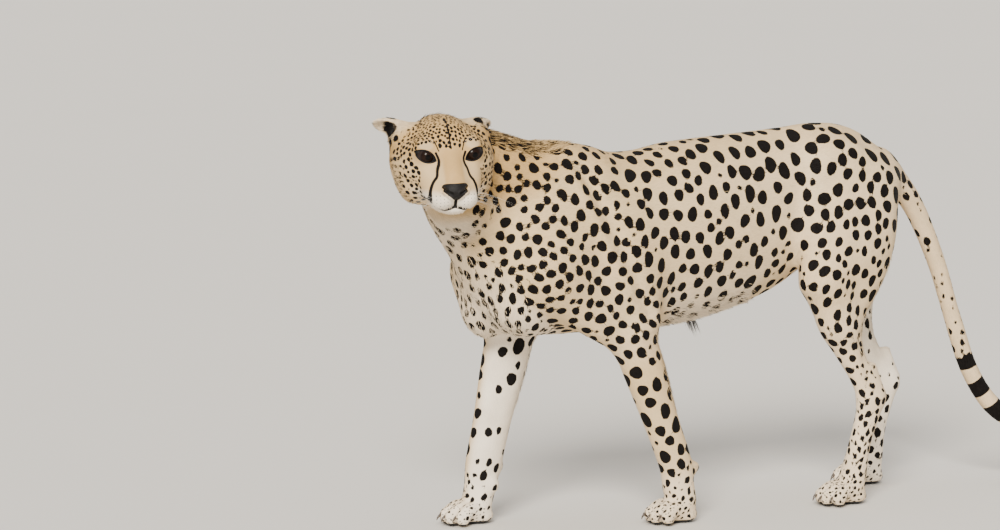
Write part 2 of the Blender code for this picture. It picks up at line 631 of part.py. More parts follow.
def main():
    for old in list(bpy.data.objects):
        bpy.data.objects.remove(old)
    flesh, head = whole_cheetah()
    animal = wrap(flesh, head)
    boolean(animal, box_cutter((0.4, 0, SOLE_LEVEL - 0.2), (1.5, 0.5, 0.2)), "DIFFERENCE")

    coat = material("spotted_coat", (0.72, 0.56, 0.36), 0.85)
    eye = material("amber_eye", (0.20, 0.09, 0.03), 0.1)
    pieces = []
    gaze = head.axes[1]
    for side, name in ((1, "right"), (-1, "left")):
        centre = head.place(side * EYE_PLACE[0], *EYE_PLACE[1:])
        socket = eyeball("socket", centre, EYE_RADIUS * HEAD_SCALE + CUT_GAP, gaze)
        boolean(animal, socket, "DIFFERENCE")
        ball = eyeball(f"eye_{name}", centre, EYE_RADIUS * HEAD_SCALE, gaze)
        bpy.context.scene.collection.objects.link(ball)
        ball.data.materials.append(eye)
        pieces.append(ball)
    for name, *region in regions(head):
        piece = part_off(animal, name, *region)
        piece.data.materials.append(coat)
        pieces.append(piece)
    animal.data.materials.append(coat)
    pieces.append(animal)

    corners = np.vstack([points_of(piece.data) for piece in pieces])
    middle = (corners.min(0) + corners.max(0)) / 2
    collection = bpy.data.collections.new("cheetah")
    bpy.context.scene.collection.children.link(collection)
    for piece in pieces:
        piece.data.transform(Matrix.Translation((-middle[0], -middle[1], -corners[:, 2].min())))
        piece.data.shade_smooth()
        bpy.context.scene.collection.objects.unlink(piece)
        collection.objects.link(piece)


main()
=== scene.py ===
"""Looks of a life-size cheetah, a still model in mid walk with its head turned to its left.

Metres, +Z up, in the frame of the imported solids. One skin is wrapped over the same masses of
flesh as the solids have, a little inside them, and short tufts of coat are laid on it.
"""

import json
import math

import bmesh
import bpy
import numpy as np
from bpy.props import FloatProperty, FloatVectorProperty, IntProperty, PointerProperty
from mathutils import Matrix, Vector
from mathutils.kdtree import KDTree

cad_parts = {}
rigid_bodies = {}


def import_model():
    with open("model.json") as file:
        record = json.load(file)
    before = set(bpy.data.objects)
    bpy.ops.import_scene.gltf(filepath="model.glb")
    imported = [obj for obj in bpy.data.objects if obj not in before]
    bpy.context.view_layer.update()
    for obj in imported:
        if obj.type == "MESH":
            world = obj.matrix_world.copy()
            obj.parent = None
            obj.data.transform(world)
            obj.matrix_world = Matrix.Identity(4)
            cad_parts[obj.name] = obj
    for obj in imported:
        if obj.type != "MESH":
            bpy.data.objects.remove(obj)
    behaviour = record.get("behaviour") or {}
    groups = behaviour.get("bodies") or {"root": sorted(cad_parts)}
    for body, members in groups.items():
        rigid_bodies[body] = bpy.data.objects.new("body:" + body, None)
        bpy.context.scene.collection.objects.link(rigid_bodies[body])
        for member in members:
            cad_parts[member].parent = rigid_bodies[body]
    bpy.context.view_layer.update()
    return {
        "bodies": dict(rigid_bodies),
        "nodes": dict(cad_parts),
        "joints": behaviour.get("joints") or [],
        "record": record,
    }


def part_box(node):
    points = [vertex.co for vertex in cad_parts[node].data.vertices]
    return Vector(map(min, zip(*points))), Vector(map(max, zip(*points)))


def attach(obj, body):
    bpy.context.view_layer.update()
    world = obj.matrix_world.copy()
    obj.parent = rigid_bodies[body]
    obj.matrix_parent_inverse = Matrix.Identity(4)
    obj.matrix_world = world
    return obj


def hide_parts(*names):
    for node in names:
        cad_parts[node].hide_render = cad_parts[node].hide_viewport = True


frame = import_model()

bl_info = {
    "name": "Cheetah",
    "version": (1, 0, 0),
    "blender": (4, 5, 0),
    "location": "3D View > Sidebar > Cheetah",
    "description": "Skin, coat, eyes, claws and whiskers of a life-size walking cheetah",
    "category": "Object",
}

EYES = ("eye_left", "eye_right")
FLESH_NODES = [name for name in frame["nodes"] if name not in EYES]

# ---- driving dimensions -------------------------------------------------------------------
VOXEL = 0.0068  # of the skin that wraps the masses
HEAD_REACH, FACE_REACH, MOUTH_REACH = 0.150, 0.080, 0.038  # where the skin is drawn finer
EYE_REACH, PAW_REACH = 0.026, 0.055
BODY_DEPTH, LEG_DEPTH, PAW_DEPTH = 0.0042, 0.0028, 0.0014  # of the skin below the coat's outside
HEAD_DEPTH, FACE_DEPTH, LID_DEPTH = 0.0020, 0.0010, 0.0002
PAINTED = ("spot", "tawny", "pale", "leg", "head", "bare")  # values on the points of the skin
BAKE_MAP, PATCH = "OFBake", 0.003  # the coat's own map, and a tuft's patch on it
SOLE_LEVEL = 0.0  # the floor, on which all four paws are flat

HEAD_SCALE = 1.155  # of the head's own drawing, below
HEAD_CENTRE = Vector((-0.295, -0.090, 0.682))
HEAD_TURN = math.radians(71)  # to its left, from straight ahead
HEAD_NOD = math.radians(4.5)  # nose down
HEAD_TILT = math.radians(2)
EYE_RADIUS = 0.0158
EYE_PLACE = (0.0350, 0.0385, 0.0205)
EYE_SLANT = math.radians(21)  # outer corner up
EYE_SPLAY = math.radians(10)  # outwards, from straight ahead
EYE_HALF_WIDTH = 0.0158  # of the opening between the lids
EYE_OUTWARDS = 0.0009  # of the opening, from the middle of the eyeball
EYE_LIFT = (0.0086, 0.0068)  # of the upper lid above the corners, and the lower one below
LID = 0.0020  # thickness over the eyeball
SOCKET_FLOOR = 0.0015  # below the eyeball's surface
EAR_HALF = (0.0265, 0.0100, 0.0190)  # half its length, thickness and width
# Each ear: its middle, the ways it points and faces, and half the size of its cup.
EARS = {
    "right": ((0.0745, -0.050, 0.0525), (0.95, -0.15, 0.18), (0.20, 0.70, -0.62),
              (0.0185, 0.0088, 0.0140)),
    "left": ((-0.0625, -0.058, 0.0455), (-0.80, -0.60, -0.10), (-0.35, 0.45, -0.80),
             (0.013, 0.007, 0.012)),
}

PAW_LENGTH = 0.074  # from the knuckle joint to the toe tips
PAW_WIDTH = 0.064
TOES = ((-0.375, 0.82), (-0.13, 1.0), (0.13, 0.98), (0.375, 0.80))  # across the paw, and reach

# In the head's own frame, for its right half: across and up, or forward and up.
NOSE_TIP = (0, 0.10, -0.02)
NOSE_HEIGHT, NOSE_HALF = (-0.0400, -0.0135), (0.0055, 0.0232)
NOSE_ARCH, NOSE_BACK, NOSE_SOFTNESS = 6.0, 0.084, 0.0022  # of its top edge, rear and corners
NOSTRIL = [(0.0075, -0.0290), (0.0120, -0.0275), (0.0165, -0.0225), (0.0190, -0.0235)]
PHILTRUM = [(0, -0.0375), (0, -0.0450), (0, -0.0515)]
LIPS_FRONT = [(0, -0.0510), (0.0080, -0.0535), (0.0160, -0.0555), (0.0245, -0.0548),
              (0.0310, -0.0520)]
LIPS_SIDE = [(0.082, -0.0535), (0.070, -0.0505), (0.056, -0.0490), (0.047, -0.0455)]
TEAR_LINE = [(0.0225, 0.0260), (0.0192, 0.0170), (0.0198, 0.0100), (0.0228, 0.0030),
             (0.0252, -0.0065), (0.0312, -0.0150), (0.0352, -0.0270), (0.0368, -0.0450)]
BROW_STREAK = [(0.0180, 0.0290), (0.0205, 0.0360), (0.0235, 0.0430)]
OUTER_STREAK = [(0.0500, 0.0270), (0.0560, 0.0290), (0.0620, 0.0280)]

SPOT_GAP = 0.0046  # of plain coat between two large spots; small ones stand closer
GAP_SHARE, GAP_GROWTH = 0.27, 0.08  # most of a gap, in radii of a spot: small, and more if large
SPOT_SIZES = (0.10, 0.14)  # middle and spread of the logarithm of a size, against the usual one
SMALL_SPOT, FILLER_SPOT = 0.42, 0.62  # sizes of the spots that fill what is left free
FILLER_GAP, FILLER_ROOM = 1.25, 0.12  # round a filler: gaps, and room beyond the smallest size
EAR_DARK_AND_SHADE = (((-0.0600, -0.0360, 0.0560), 0.0085),)  # the dark inside of the left ear at its front: partly its own dark skin, partly painted shade of its hollow
EAR_PATCH = 0.0165  # radius of the dark patch behind each ear
NO_MARK, FULL_MARK = -0.004, 0.004  # painted well outside a spot, and well inside one
FINE_MESH = 0.110  # round the head's middle, where the skin is fine enough to hold small spots
FAR = 9.0  # more than any distance here
HAIR_WIDTH, HAIR_SWAY = 0.0013, 0.16  # of the longer hair
BELLY_TUFT = 0.267  # its place along the body
COAT_LIFT = 0.085  # slope of the short tufts away from the skin
WHISKER_RADIUS, CLAW_RADIUS, TUBE_STEPS = 0.00015, 0.0026, 9  # at their roots

# Folds pressed into the body: a line on the left side, its depth and its width.
FOLDS = (
    ([(-0.002, -0.078, 0.650), (0.020, -0.097, 0.601), (0.044, -0.110, 0.547),
      (0.068, -0.117, 0.492), (0.094, -0.117, 0.436), (0.118, -0.113, 0.392)], 0.0062, 0.015),
    ([(-0.026, -0.078, 0.645), (-0.004, -0.097, 0.597), (0.020, -0.110, 0.543),
      (0.046, -0.117, 0.488), (0.074, -0.117, 0.436)], -0.0035, 0.013),
    ([(-0.100, -0.106, 0.560), (-0.070, -0.118, 0.520), (-0.030, -0.121, 0.490),
      (0.010, -0.121, 0.455)], 0.0025, 0.014),
    ([(0.582, -0.104, 0.315), (0.596, -0.104, 0.270), (0.606, -0.104, 0.228)], 0.0040, 0.008),
    ([(0.582, -0.062, 0.315), (0.596, -0.062, 0.270), (0.606, -0.062, 0.228)], 0.0040, 0.008),
)
FOLD_SHIFTS = {"left": (0, 0, 0, 0, 0), "right": (-0.036, -0.036, -0.036, 0.142, 0.142)}

RINGED_LENGTH, RING_PITCH, WHITE_TIP = 0.30, 0.058, 0.030  # of the tail, from its tip
CORNEA_RISE = 0.0012

FLOOR_SIZE = 60.0
BACKDROP = 0.95  # how bright the surround itself looks
LENS, SENSOR = 160, 36
CAMERA_PLACE = (-4.0812, -6.8421, 1.4529)
CAMERA_AIM = (-0.1110, 0.0345, 0.4780)
# Each light: name, where it shines from, how wide it is, share of the key light, colour.
LIGHTS = (
    ("key", (-3.2, -4.0, 3.2), math.radians(22), 1.0, (1.0, 0.955, 0.88)),
    ("top", (0.5, 0.8, 4.0), math.radians(60), 0.14, (1.0, 0.98, 0.95)),
)

# Joints of each leg: shoulder blade's top, shoulder, elbow, wrist, knuckles; or hip, knee,
# heel, knuckles. The side is -1 for the left and +1 for the right.
FORELEGS = {
    "left": dict(side=-1, blade=(0.030, 0.645), shoulder=(-0.080, 0.482), elbow=(0.094, 0.352),
                 wrist=(0.186, 0.112), knuckle=(0.200, 0.034), out=0.087, depth=1.0,
                 pad=0.038),
    "right": dict(side=1, blade=(-0.010, 0.650), shoulder=(-0.122, 0.470), elbow=(-0.058, 0.348),
                  wrist=(-0.114, 0.112), knuckle=(-0.128, 0.034), out=0.089, depth=1.1,
                  pad=0.029),
}
HINDLEGS = {
    "left": dict(side=-1, hip=(0.602, 0.610), knee=(0.504, 0.423), heel=(0.617, 0.196),
                 knuckle=(0.577, 0.032), out=0.083),
    "right": dict(side=1, hip=(0.606, 0.606), knee=(0.636, 0.398), heel=(0.765, 0.196),
                  knuckle=(0.730, 0.032), out=0.083),
}
# The trunk's sections: place along it, top, bottom, half width.
TRUNK = [
    (-0.155, 0.570, 0.410, 0.058),
    (-0.125, 0.606, 0.376, 0.079),
    (-0.085, 0.646, 0.352, 0.093),
    (-0.030, 0.684, 0.347, 0.102),
    (0.030, 0.690, 0.347, 0.107),
    (0.090, 0.680, 0.345, 0.109),
    (0.150, 0.680, 0.346, 0.109),
    (0.210, 0.690, 0.349, 0.107),
    (0.270, 0.695, 0.355, 0.103),
    (0.340, 0.699, 0.369, 0.095),
    (0.410, 0.703, 0.387, 0.084),
    (0.470, 0.707, 0.413, 0.076),
    (0.530, 0.712, 0.455, 0.071),
    (0.590, 0.708, 0.500, 0.066),
    (0.640, 0.690, 0.540, 0.054),
    (0.685, 0.655, 0.575, 0.038),
]
TAIL = [
    ((0.650, 0.000, 0.625), 0.036),
    ((0.705, 0.000, 0.610), 0.030),
    ((0.765, -0.004, 0.545), 0.024),
    ((0.815, -0.010, 0.440), 0.021),
    ((0.850, -0.018, 0.330), 0.0195),
    ((0.885, -0.028, 0.225), 0.019),
    ((0.935, -0.040, 0.150), 0.020),
    ((1.000, -0.052, 0.118), 0.022),
    ((1.062, -0.060, 0.130), 0.021),
    ((1.100, -0.064, 0.152), 0.013),
]


# ---- masses of flesh ----------------------------------------------------------------------
def curve_through(rows, steps):
    """Rows of numbers, joined by a smooth curve and read at this many steps a span."""
    rows = np.asarray(rows, float)
    ends = np.vstack([2 * rows[0] - rows[1], rows, 2 * rows[-1] - rows[-2]])
    found = []
    for a, b, c, d in zip(ends, ends[1:], ends[2:], ends[3:]):
        for t in np.arange(steps) / steps:
            found.append(0.5 * (2 * b + (c - a) * t + (2 * a - 5 * b + 4 * c - d) * t**2
                                + (3 * b - a - 3 * c + d) * t**3))
    return np.array([*found, rows[-1]])


def melt_together(a, b, reach):
    """The nearer of two distances, rounded where they meet."""
    share = np.clip(0.5 + 0.5 * (a - b) / reach, 0, 1)
    return a + (b - a) * share - reach * share * (1 - share)


def egg_distance(local, radii):
    near = np.sqrt(((local / radii) ** 2).sum(-1))
    slope = np.sqrt(((local / radii**2) ** 2).sum(-1))
    return near * (near - 1) / np.maximum(slope, 1e-9)


class Ball:
    """An egg of flesh. turn holds its three axes as rows. A hollow one is scooped out."""

    def __init__(self, centre, radii, turn=None, melt=0.03, hollow=False):
        self.centre = np.array(centre, float)
        self.radii = np.array(radii, float)
        self.turn = np.eye(3) if turn is None else np.array(turn, float)
        self.melt = melt
        self.hollow = hollow

    def reach(self):
        spread = np.sqrt(((self.turn * self.radii[:, None]) ** 2).sum(0))
        return self.centre - spread, self.centre + spread

    def distance(self, points):
        return egg_distance((points - self.centre) @ self.turn.T, self.radii)

    def beads(self):
        return [] if self.hollow else [(self.centre, self.radii, self.turn)]


class Strap:
    """A tube of flesh through stations of (x, y, z, half width, half depth); side is across it."""

    def __init__(self, stations, side=(0, 1, 0), melt=0.03, steps=8, hollow=False):
        rows = curve_through(stations, steps)
        self.line = rows[:, :3]
        self.half = np.maximum(rows[:, 3:5], 0.002)
        self.melt = melt
        self.hollow = hollow
        along = np.diff(self.line, axis=0)
        along /= np.linalg.norm(along, axis=1)[:, None]
        across = np.array(side, float) - along * (along @ np.array(side, float))[:, None]
        across /= np.linalg.norm(across, axis=1)[:, None]
        self.frames = np.stack([across, np.cross(along, across), along], 1)

    def reach(self):
        most = self.half.max(1)[:, None]
        return (self.line - most).min(0), (self.line + most).max(0)

    def distance(self, points):
        best = np.full(len(points), 0.5)
        margin = self.melt + 0.02
        for i in range(len(self.line) - 1):
            start, end = self.line[i], self.line[i + 1]
            most = self.half[i : i + 2].max() + margin
            low, high = np.minimum(start, end) - most, np.maximum(start, end) + most
            near = np.flatnonzero(((points > low) & (points < high)).all(1))
            if not len(near):
                continue
            run = end - start
            offset = points[near] - start
            share = np.clip(offset @ run / (run @ run), 0, 1)
            offset -= share[:, None] * run
            half = self.half[i] + share[:, None] * (self.half[i + 1] - self.half[i])
            radii = np.column_stack([half, half.min(1)])
            best[near] = np.minimum(best[near], egg_distance(offset @ self.frames[i].T, radii))
        return best

    def beads(self):
        if self.hollow:
            return []
        frames = [*self.frames, self.frames[-1]]
        return [(centre, (*half, min(half)), frame)
                for centre, half, frame in zip(self.line, self.half, frames)]


class Barrel:
    """The trunk: sections of (x, top, bottom, half width) along x, with rounded ends."""

    def __init__(self, sections, melt=0.03, steps=8):
        self.rows = curve_through(sections, steps)
        self.melt = melt
        self.hollow = False

    def reach(self):
        x, top, bottom, half = self.rows.T
        end = half.max()
        return (np.array((x[0] - end, -end, bottom.min())), np.array((x[-1] + end, end, top.max())))

    def distance(self, points):
        x, top, bottom, half = self.rows.T
        along = points[:, 0]
        top, bottom, half = (np.interp(along, x, values) for values in (top, bottom, half))
        past = along - np.clip(along, x[0], x[-1])
        local = np.column_stack([past, points[:, 1], points[:, 2] - (top + bottom) / 2])
        return egg_distance(local, np.column_stack([half * 0.8, half, (top - bottom) / 2]))

    def beads(self):
        return [((x, 0, (top + bottom) / 2), (0.05, half, (top - bottom) / 2), np.eye(3))
                for x, top, bottom, half in self.rows[::3]]


class Slit:
    """The almond opening between two lids, down to the eyeball. turn holds across, out and up."""

    def __init__(self, centre, radius, half_width, lifts, turn, aside=0.0, melt=0.001):
        self.centre, self.turn, self.aside = np.array(centre), np.array(turn), aside
        self.radius, self.half_width, self.lifts = radius, half_width, lifts
        self.melt = melt
        self.hollow = True

    def reach(self):
        return self.centre - 2 * self.radius, self.centre + 2 * self.radius

    def distance(self, points):
        across, out, up = ((points - self.centre) @ self.turn.T).T
        found = np.maximum(-out, self.radius - np.sqrt(across**2 + out**2 + up**2))
        for sign, lift in zip((1, -1), self.lifts):
            radius = (self.half_width**2 + lift**2) / (2 * lift)
            corner = np.hypot(across - self.aside, sign * up + radius - lift)
            found = np.maximum(found, corner - radius)
        return found

    def beads(self):
        return []


class Flesh:
    """All the masses, and how far any point is from the skin that wraps them."""

    def __init__(self):
        self.masses = []

    def ball(self, *a, **k):
        self.masses.append(Ball(*a, **k))

    def strap(self, *a, **k):
        self.masses.append(Strap(*a, **k))

    def cups(self):
        """The hollows of the ears."""
        return [mass for mass in self.masses if isinstance(mass, Ball) and mass.hollow]

    def slits(self):
        return [mass for mass in self.masses if isinstance(mass, Slit)]

    def distance(self, points):
        found = np.full(len(points), 0.5)
        for mass in self.masses:
            low, high = mass.reach()
            margin = mass.melt + 0.02
            near = np.flatnonzero(((points > low - margin) & (points < high + margin)).all(1))
            if not len(near):
                continue
            own = mass.distance(points[near])
            if mass.hollow:
                found[near] = -melt_together(-found[near], own, mass.melt)
            else:
                found[near] = melt_together(found[near], own, mass.melt)
        return found

    def slope(self, points, step=0.0008):
        corners = np.array([(1, 1, 1), (1, -1, -1), (-1, 1, -1), (-1, -1, 1)], float)
        return sum(c * self.distance(points + c * step)[:, None] for c in corners) / (4 * step)


def flesh_of_trunk(flesh):
    flesh.masses.append(Barrel(TRUNK))
    flesh.ball((-0.135, 0.040, 0.410), (0.052, 0.052, 0.066), melt=0.04)  # breast, right
    flesh.ball((-0.105, -0.036, 0.420), (0.060, 0.050, 0.062), melt=0.04)  # breast, left
    for side in (-1, 1):
        flesh.ball((0.550, side * 0.050, 0.640), (0.050, 0.030, 0.040), melt=0.05)  # hip bone


def between(a, b, share):
    """A place part of the way from a to b, seen from the side."""
    return (a[0] + (b[0] - a[0]) * share, a[1] + (b[1] - a[1]) * share)


def on_side(side):
    """Makes stations on one side of the body, from a place seen from the side."""
    def at(place, across, *half):
        return (place[0], side * across, place[1], *half)
    return at


def flesh_of_foreleg(flesh, side, blade, shoulder, elbow, wrist, knuckle, out, depth, pad):
    at = on_side(side)
    flesh.strap([at(blade, 0.030, 0.024, 0.058),
                 at(between(blade, shoulder, 0.5), 0.066, 0.032, 0.072),
                 at(shoulder, 0.080, 0.038, 0.056)], melt=0.045)  # shoulder blade and its muscles
    flesh.ball(at(between(shoulder, elbow, 0.05), 0.078), (0.052, 0.040, 0.056), melt=0.04)
    flesh.strap([at(shoulder, 0.078, 0.036, 0.052),
                 at(between(shoulder, elbow, 0.5), 0.084, 0.036, 0.060),
                 at(elbow, out - 0.004, 0.032, 0.046)], melt=0.04)  # upper arm
    heel = (elbow[0] + 0.030, elbow[1] + 0.024)
    flesh.strap([at((blade[0] + 0.040, blade[1] - 0.085), 0.074, 0.026, 0.040),
                 at(between(blade, heel, 0.62), 0.084, 0.032, 0.050),
                 at(heel, out, 0.020, 0.024)], melt=0.045)  # triceps, down to the point of the elbow
    flesh.ball(at(heel, out), (0.016, 0.015, 0.018), melt=0.02)
    mid = between(elbow, wrist, 0.30)
    low = between(elbow, wrist, 0.68)
    hand = between(wrist, knuckle, 0.55)
    flesh.strap([at(elbow, out, 0.036, 0.046 * depth), at(mid, out, 0.034, 0.042 * depth),
                 at(low, out, 0.029, 0.036 * depth), at(wrist, out, 0.029, 0.034 * depth),
                 at(hand, out, 0.027, 0.032), at((knuckle[0], knuckle[1] + 0.006), out, 0.030, 0.029)],
                melt=0.02)
    flesh.ball(at((wrist[0] + pad, wrist[1] - 0.012), out + 0.004), (0.014, 0.011, 0.012), melt=0.016)
    flesh.ball(at((wrist[0] + 0.006, wrist[1] - 0.040), out - 0.025), (0.013, 0.009, 0.014), melt=0.012)


def flesh_of_hindleg(flesh, side, hip, knee, heel, knuckle, out):
    at = on_side(side)
    flesh.strap([at((hip[0] - 0.004, hip[1] + 0.01), 0.040, 0.040, 0.088),
                 at(between(hip, knee, 0.45), 0.066, 0.046, 0.092),
                 at(between(hip, knee, 0.85), 0.084, 0.042, 0.062),
                 at(knee, out + 0.006, 0.034, 0.044)], melt=0.03)  # thigh
    ham = between(hip, between(knee, heel, 0.35), 0.5)
    flesh.strap([at((hip[0] + 0.060, hip[1] - 0.015), 0.034, 0.034, 0.050),
                 at((ham[0] + 0.052, ham[1] - 0.005), 0.062, 0.036, 0.056),
                 at(between(knee, heel, 0.38), out, 0.026, 0.040)], melt=0.045)  # hamstrings
    flesh.strap([at(knee, out + 0.004, 0.034, 0.042), at(between(knee, heel, 0.4), out, 0.027, 0.038),
                 at(between(knee, heel, 0.78), out, 0.020, 0.024),
                 at(heel, out, 0.020, 0.024)], melt=0.03)  # shin and calf
    flesh.strap([at((heel[0] + 0.004, heel[1] + 0.060), out, 0.008, 0.012),
                 at((heel[0] + 0.021, heel[1] + 0.008), out, 0.013, 0.013)], melt=0.025)  # heel tendon
    flesh.strap([at((heel[0] + 0.004, heel[1] - 0.008), out, 0.022, 0.028),
                 at(between(heel, knuckle, 0.5), out, 0.0215, 0.0235),
                 at((knuckle[0], knuckle[1] + 0.004), out, 0.029, 0.027)], melt=0.02)  # long foot


def flesh_of_paw(flesh, x, y):
    """Four toes and the heel pad, pointing to -X."""
    flesh.ball((x + 0.004, y, 0.0145), (0.027, 0.028, 0.0165), melt=0.012)
    flesh.ball((x - 0.026, y, 0.022), (0.030, 0.028, 0.020), melt=0.012)
    for across, reach in TOES:
        lateral = y + across * PAW_WIDTH
        splay = across * 0.014
        tip = x - PAW_LENGTH * reach
        flesh.strap([(x - 0.004, lateral - splay, 0.030, 0.0105, 0.014),
                     (x - 0.50 * PAW_LENGTH * reach, lateral, 0.0285, 0.0112, 0.0145),
                     (tip + 0.0125, lateral + splay, 0.0145, 0.0112, 0.0155)], melt=0.006)


class HeadFrame:
    """Turns the head's own drawing (x to its right, y to the nose, z up) into the animal's frame."""

    def __init__(self):
        nose = Vector((-math.cos(HEAD_TURN) * math.cos(HEAD_NOD),
                       -math.sin(HEAD_TURN) * math.cos(HEAD_NOD), -math.sin(HEAD_NOD)))
        right = nose.cross(Vector((0, 0, 1))).normalized()
        right = Matrix.Rotation(HEAD_TILT, 3, nose) @ right
        self.axes = np.array([right, nose, right.cross(nose)])
        self.centre = np.array(HEAD_CENTRE)

    def place(self, x, y, z):
        return self.centre + HEAD_SCALE * (np.array((x, y, z)) @ self.axes)

    def local(self, points):
        return (points - self.centre) @ self.axes.T / HEAD_SCALE

    def eye(self, side):
        """The middle of an eyeball: 1 is the right one, -1 the left."""
        return self.place(side * EYE_PLACE[0], *EYE_PLACE[1:])

    def ball(self, flesh, x, y, z, radii, melt=0.012, spin=0.0, tip=0.0, hollow=False, both=True):
        """One ball, or a pair of them at x and -x. spin turns it about z, tip about y."""
        for side in (1, -1) if both and x else (1,):
            own = Matrix.Rotation(-side * spin, 3, "Z") @ Matrix.Rotation(-side * tip, 3, "Y")
            turn = np.array(own).T @ self.axes
            flesh.ball(self.place(side * x, y, z), HEAD_SCALE * np.array(radii), turn,
                       melt=melt * HEAD_SCALE, hollow=hollow)

    def strap(self, flesh, stations, melt=0.012, hollow=False, steps=3):
        """A strap, or a pair of them where it stands off the middle."""
        for side in (1, -1) if any(s[0] for s in stations) else (1,):
            rows = [(*self.place(side * x, y, z), HEAD_SCALE * w, HEAD_SCALE * h)
                    for x, y, z, w, h in stations]
            flesh.strap(rows, side=self.axes[0], melt=melt * HEAD_SCALE, hollow=hollow, steps=steps)


def flesh_of_head(flesh, head):
    head.ball(flesh, 0, -0.028, 0.020, (0.054, 0.064, 0.051), melt=0.03)  # brain case
    head.ball(flesh, 0, 0.012, 0.026, (0.043, 0.042, 0.040), melt=0.02)  # forehead
    head.strap(flesh, [(0, 0.020, 0.018, 0.028, 0.028), (0, 0.052, 0.002, 0.022, 0.026),
                       (0, 0.084, -0.020, 0.0185, 0.016)], melt=0.016, steps=10)  # bridge of the nose
    head.ball(flesh, 0, 0.048, -0.028, (0.036, 0.037, 0.032), melt=0.016)  # muzzle
    head.ball(flesh, 0.0175, 0.075, -0.0415, (0.0190, 0.0210, 0.0165), melt=0.010)  # whisker pads
    head.ball(flesh, 0, 0.0935, -0.0265, (0.0200, 0.0090, 0.0085), melt=0.006)  # nose leather
    head.ball(flesh, 0, 0.0935, -0.0325, (0.0110, 0.0075, 0.0075), melt=0.006)
    head.strap(flesh, [(0, 0.076, -0.0575, 0.0150, 0.0070), (0, 0.045, -0.057, 0.026, 0.013),
                       (0, 0.000, -0.050, 0.038, 0.020)], melt=0.010, steps=10)  # lower jaw
    head.ball(flesh, 0.028, 0.046, -0.020, (0.018, 0.026, 0.022), melt=0.02)  # below the eyes
    head.ball(flesh, 0.043, -0.008, -0.020, (0.031, 0.042, 0.042), melt=0.02)  # cheeks
    head.ball(flesh, 0.055, -0.034, 0.010, (0.022, 0.032, 0.034), melt=0.03)  # ruff below the ears
    head.strap(flesh, [(0.034, 0.044, -0.004, 0.008, 0.009), (0.052, 0.018, -0.002, 0.010, 0.011),
                       (0.061, -0.020, 0.004, 0.011, 0.014)], melt=0.020)  # cheek bones
    head.ball(flesh, 0.050, 0.010, 0.012, (0.014, 0.024, 0.020), melt=0.02)  # temples
    head.ball(flesh, 0.029, 0.029, 0.0335, (0.020, 0.015, 0.008), melt=0.02, tip=0.35)  # brows
    head.ball(flesh, 0.054, -0.042, 0.036, (0.020, 0.022, 0.020), melt=0.02)  # roots of the ears


def flesh_of_lids(flesh, head):
    """Lids over each eyeball, and the almond slit between them."""
    for side in (1, -1):
        centre, radius = head.eye(side), EYE_RADIUS * HEAD_SCALE
        flesh.ball(centre, [radius + LID] * 3, melt=0.010)
        turn = Matrix.Rotation(-side * EYE_SPLAY, 3, "Z") @ Matrix.Rotation(-side * EYE_SLANT, 3, "Y")
        across, out, up = np.array(turn).T @ head.axes
        width, *lifts = HEAD_SCALE * np.array((EYE_HALF_WIDTH, *EYE_LIFT))
        flesh.masses.append(Slit(centre, radius - SOCKET_FLOOR, width, lifts, (across, out, up),
                                 side * EYE_OUTWARDS * HEAD_SCALE))


def flesh_of_ears(flesh, head):
    """Short, wide ears, held low and out, with the cup facing forward; the left is laid back."""
    for middle, out, facing, cup_half in EARS.values():
        length = np.array(out) / np.linalg.norm(out)
        front = facing - length * (length @ facing)
        front /= np.linalg.norm(front)
        turn = np.array((length, front, np.cross(length, front))) @ head.axes
        flesh.ball(head.place(*middle), HEAD_SCALE * np.array(EAR_HALF), turn, melt=0.012)
        cup = middle + front * EAR_HALF[1] + length * (0.0225 - cup_half[0])
        flesh.ball(head.place(*cup), HEAD_SCALE * np.array(cup_half), turn, melt=0.004, hollow=True)


def flesh_of_neck(flesh):
    flesh.strap([(0.010, 0.000, 0.560, 0.085, 0.125), (-0.075, 0.004, 0.585, 0.082, 0.118),
                 (-0.150, 0.010, 0.624, 0.074, 0.102), (-0.215, 0.010, 0.656, 0.066, 0.088),
                 (-0.268, -0.020, 0.678, 0.056, 0.070)], melt=0.035)
    flesh.strap([(-0.235, -0.030, 0.600, 0.050, 0.052), (-0.205, 0.008, 0.560, 0.056, 0.050),
                 (-0.150, 0.004, 0.490, 0.062, 0.050)], melt=0.045)  # throat


def whole_cheetah():
    flesh, head = Flesh(), HeadFrame()
    flesh_of_trunk(flesh)
    for leg in FORELEGS.values():
        flesh_of_foreleg(flesh, **leg)
    for leg in HINDLEGS.values():
        flesh_of_hindleg(flesh, **leg)
    for leg in (*FORELEGS.values(), *HINDLEGS.values()):
        flesh_of_paw(flesh, leg["knuckle"][0], leg["side"] * leg["out"])
    flesh.strap([(*place, r, r) for place, r in TAIL], melt=0.03)
    flesh_of_neck(flesh)
    flesh_of_head(flesh, head)
    flesh_of_ears(flesh, head)
    flesh_of_lids(flesh, head)
    return flesh, head


# ---- the skin that wraps them -------------------------------------------------------------
def new_object(name, data):
    obj = bpy.data.objects.new(name, data)
    bpy.context.scene.collection.objects.link(obj)
    return obj


def beads_mesh(flesh):
    """Overlapping spheres threaded through every mass, as a first wrap for the remesher."""
    whole = bmesh.new()
    for mass in flesh.masses:
        string = bmesh.new()
        for centre, radii, turn in mass.beads():
            frame = Matrix(np.array(turn).T.tolist()) @ Matrix.Diagonal(Vector(radii))
            bmesh.ops.create_uvsphere(string, u_segments=14, v_segments=8, radius=1.0,
                                      matrix=Matrix.Translation(Vector(centre)) @ frame.to_4x4())
        mesh = bpy.data.meshes.new("string")
        string.to_mesh(mesh)
        string.free()
        whole.from_mesh(mesh)
        bpy.data.meshes.remove(mesh)
    mesh = bpy.data.meshes.new("wrap")
    whole.to_mesh(mesh)
    whole.free()
    return mesh


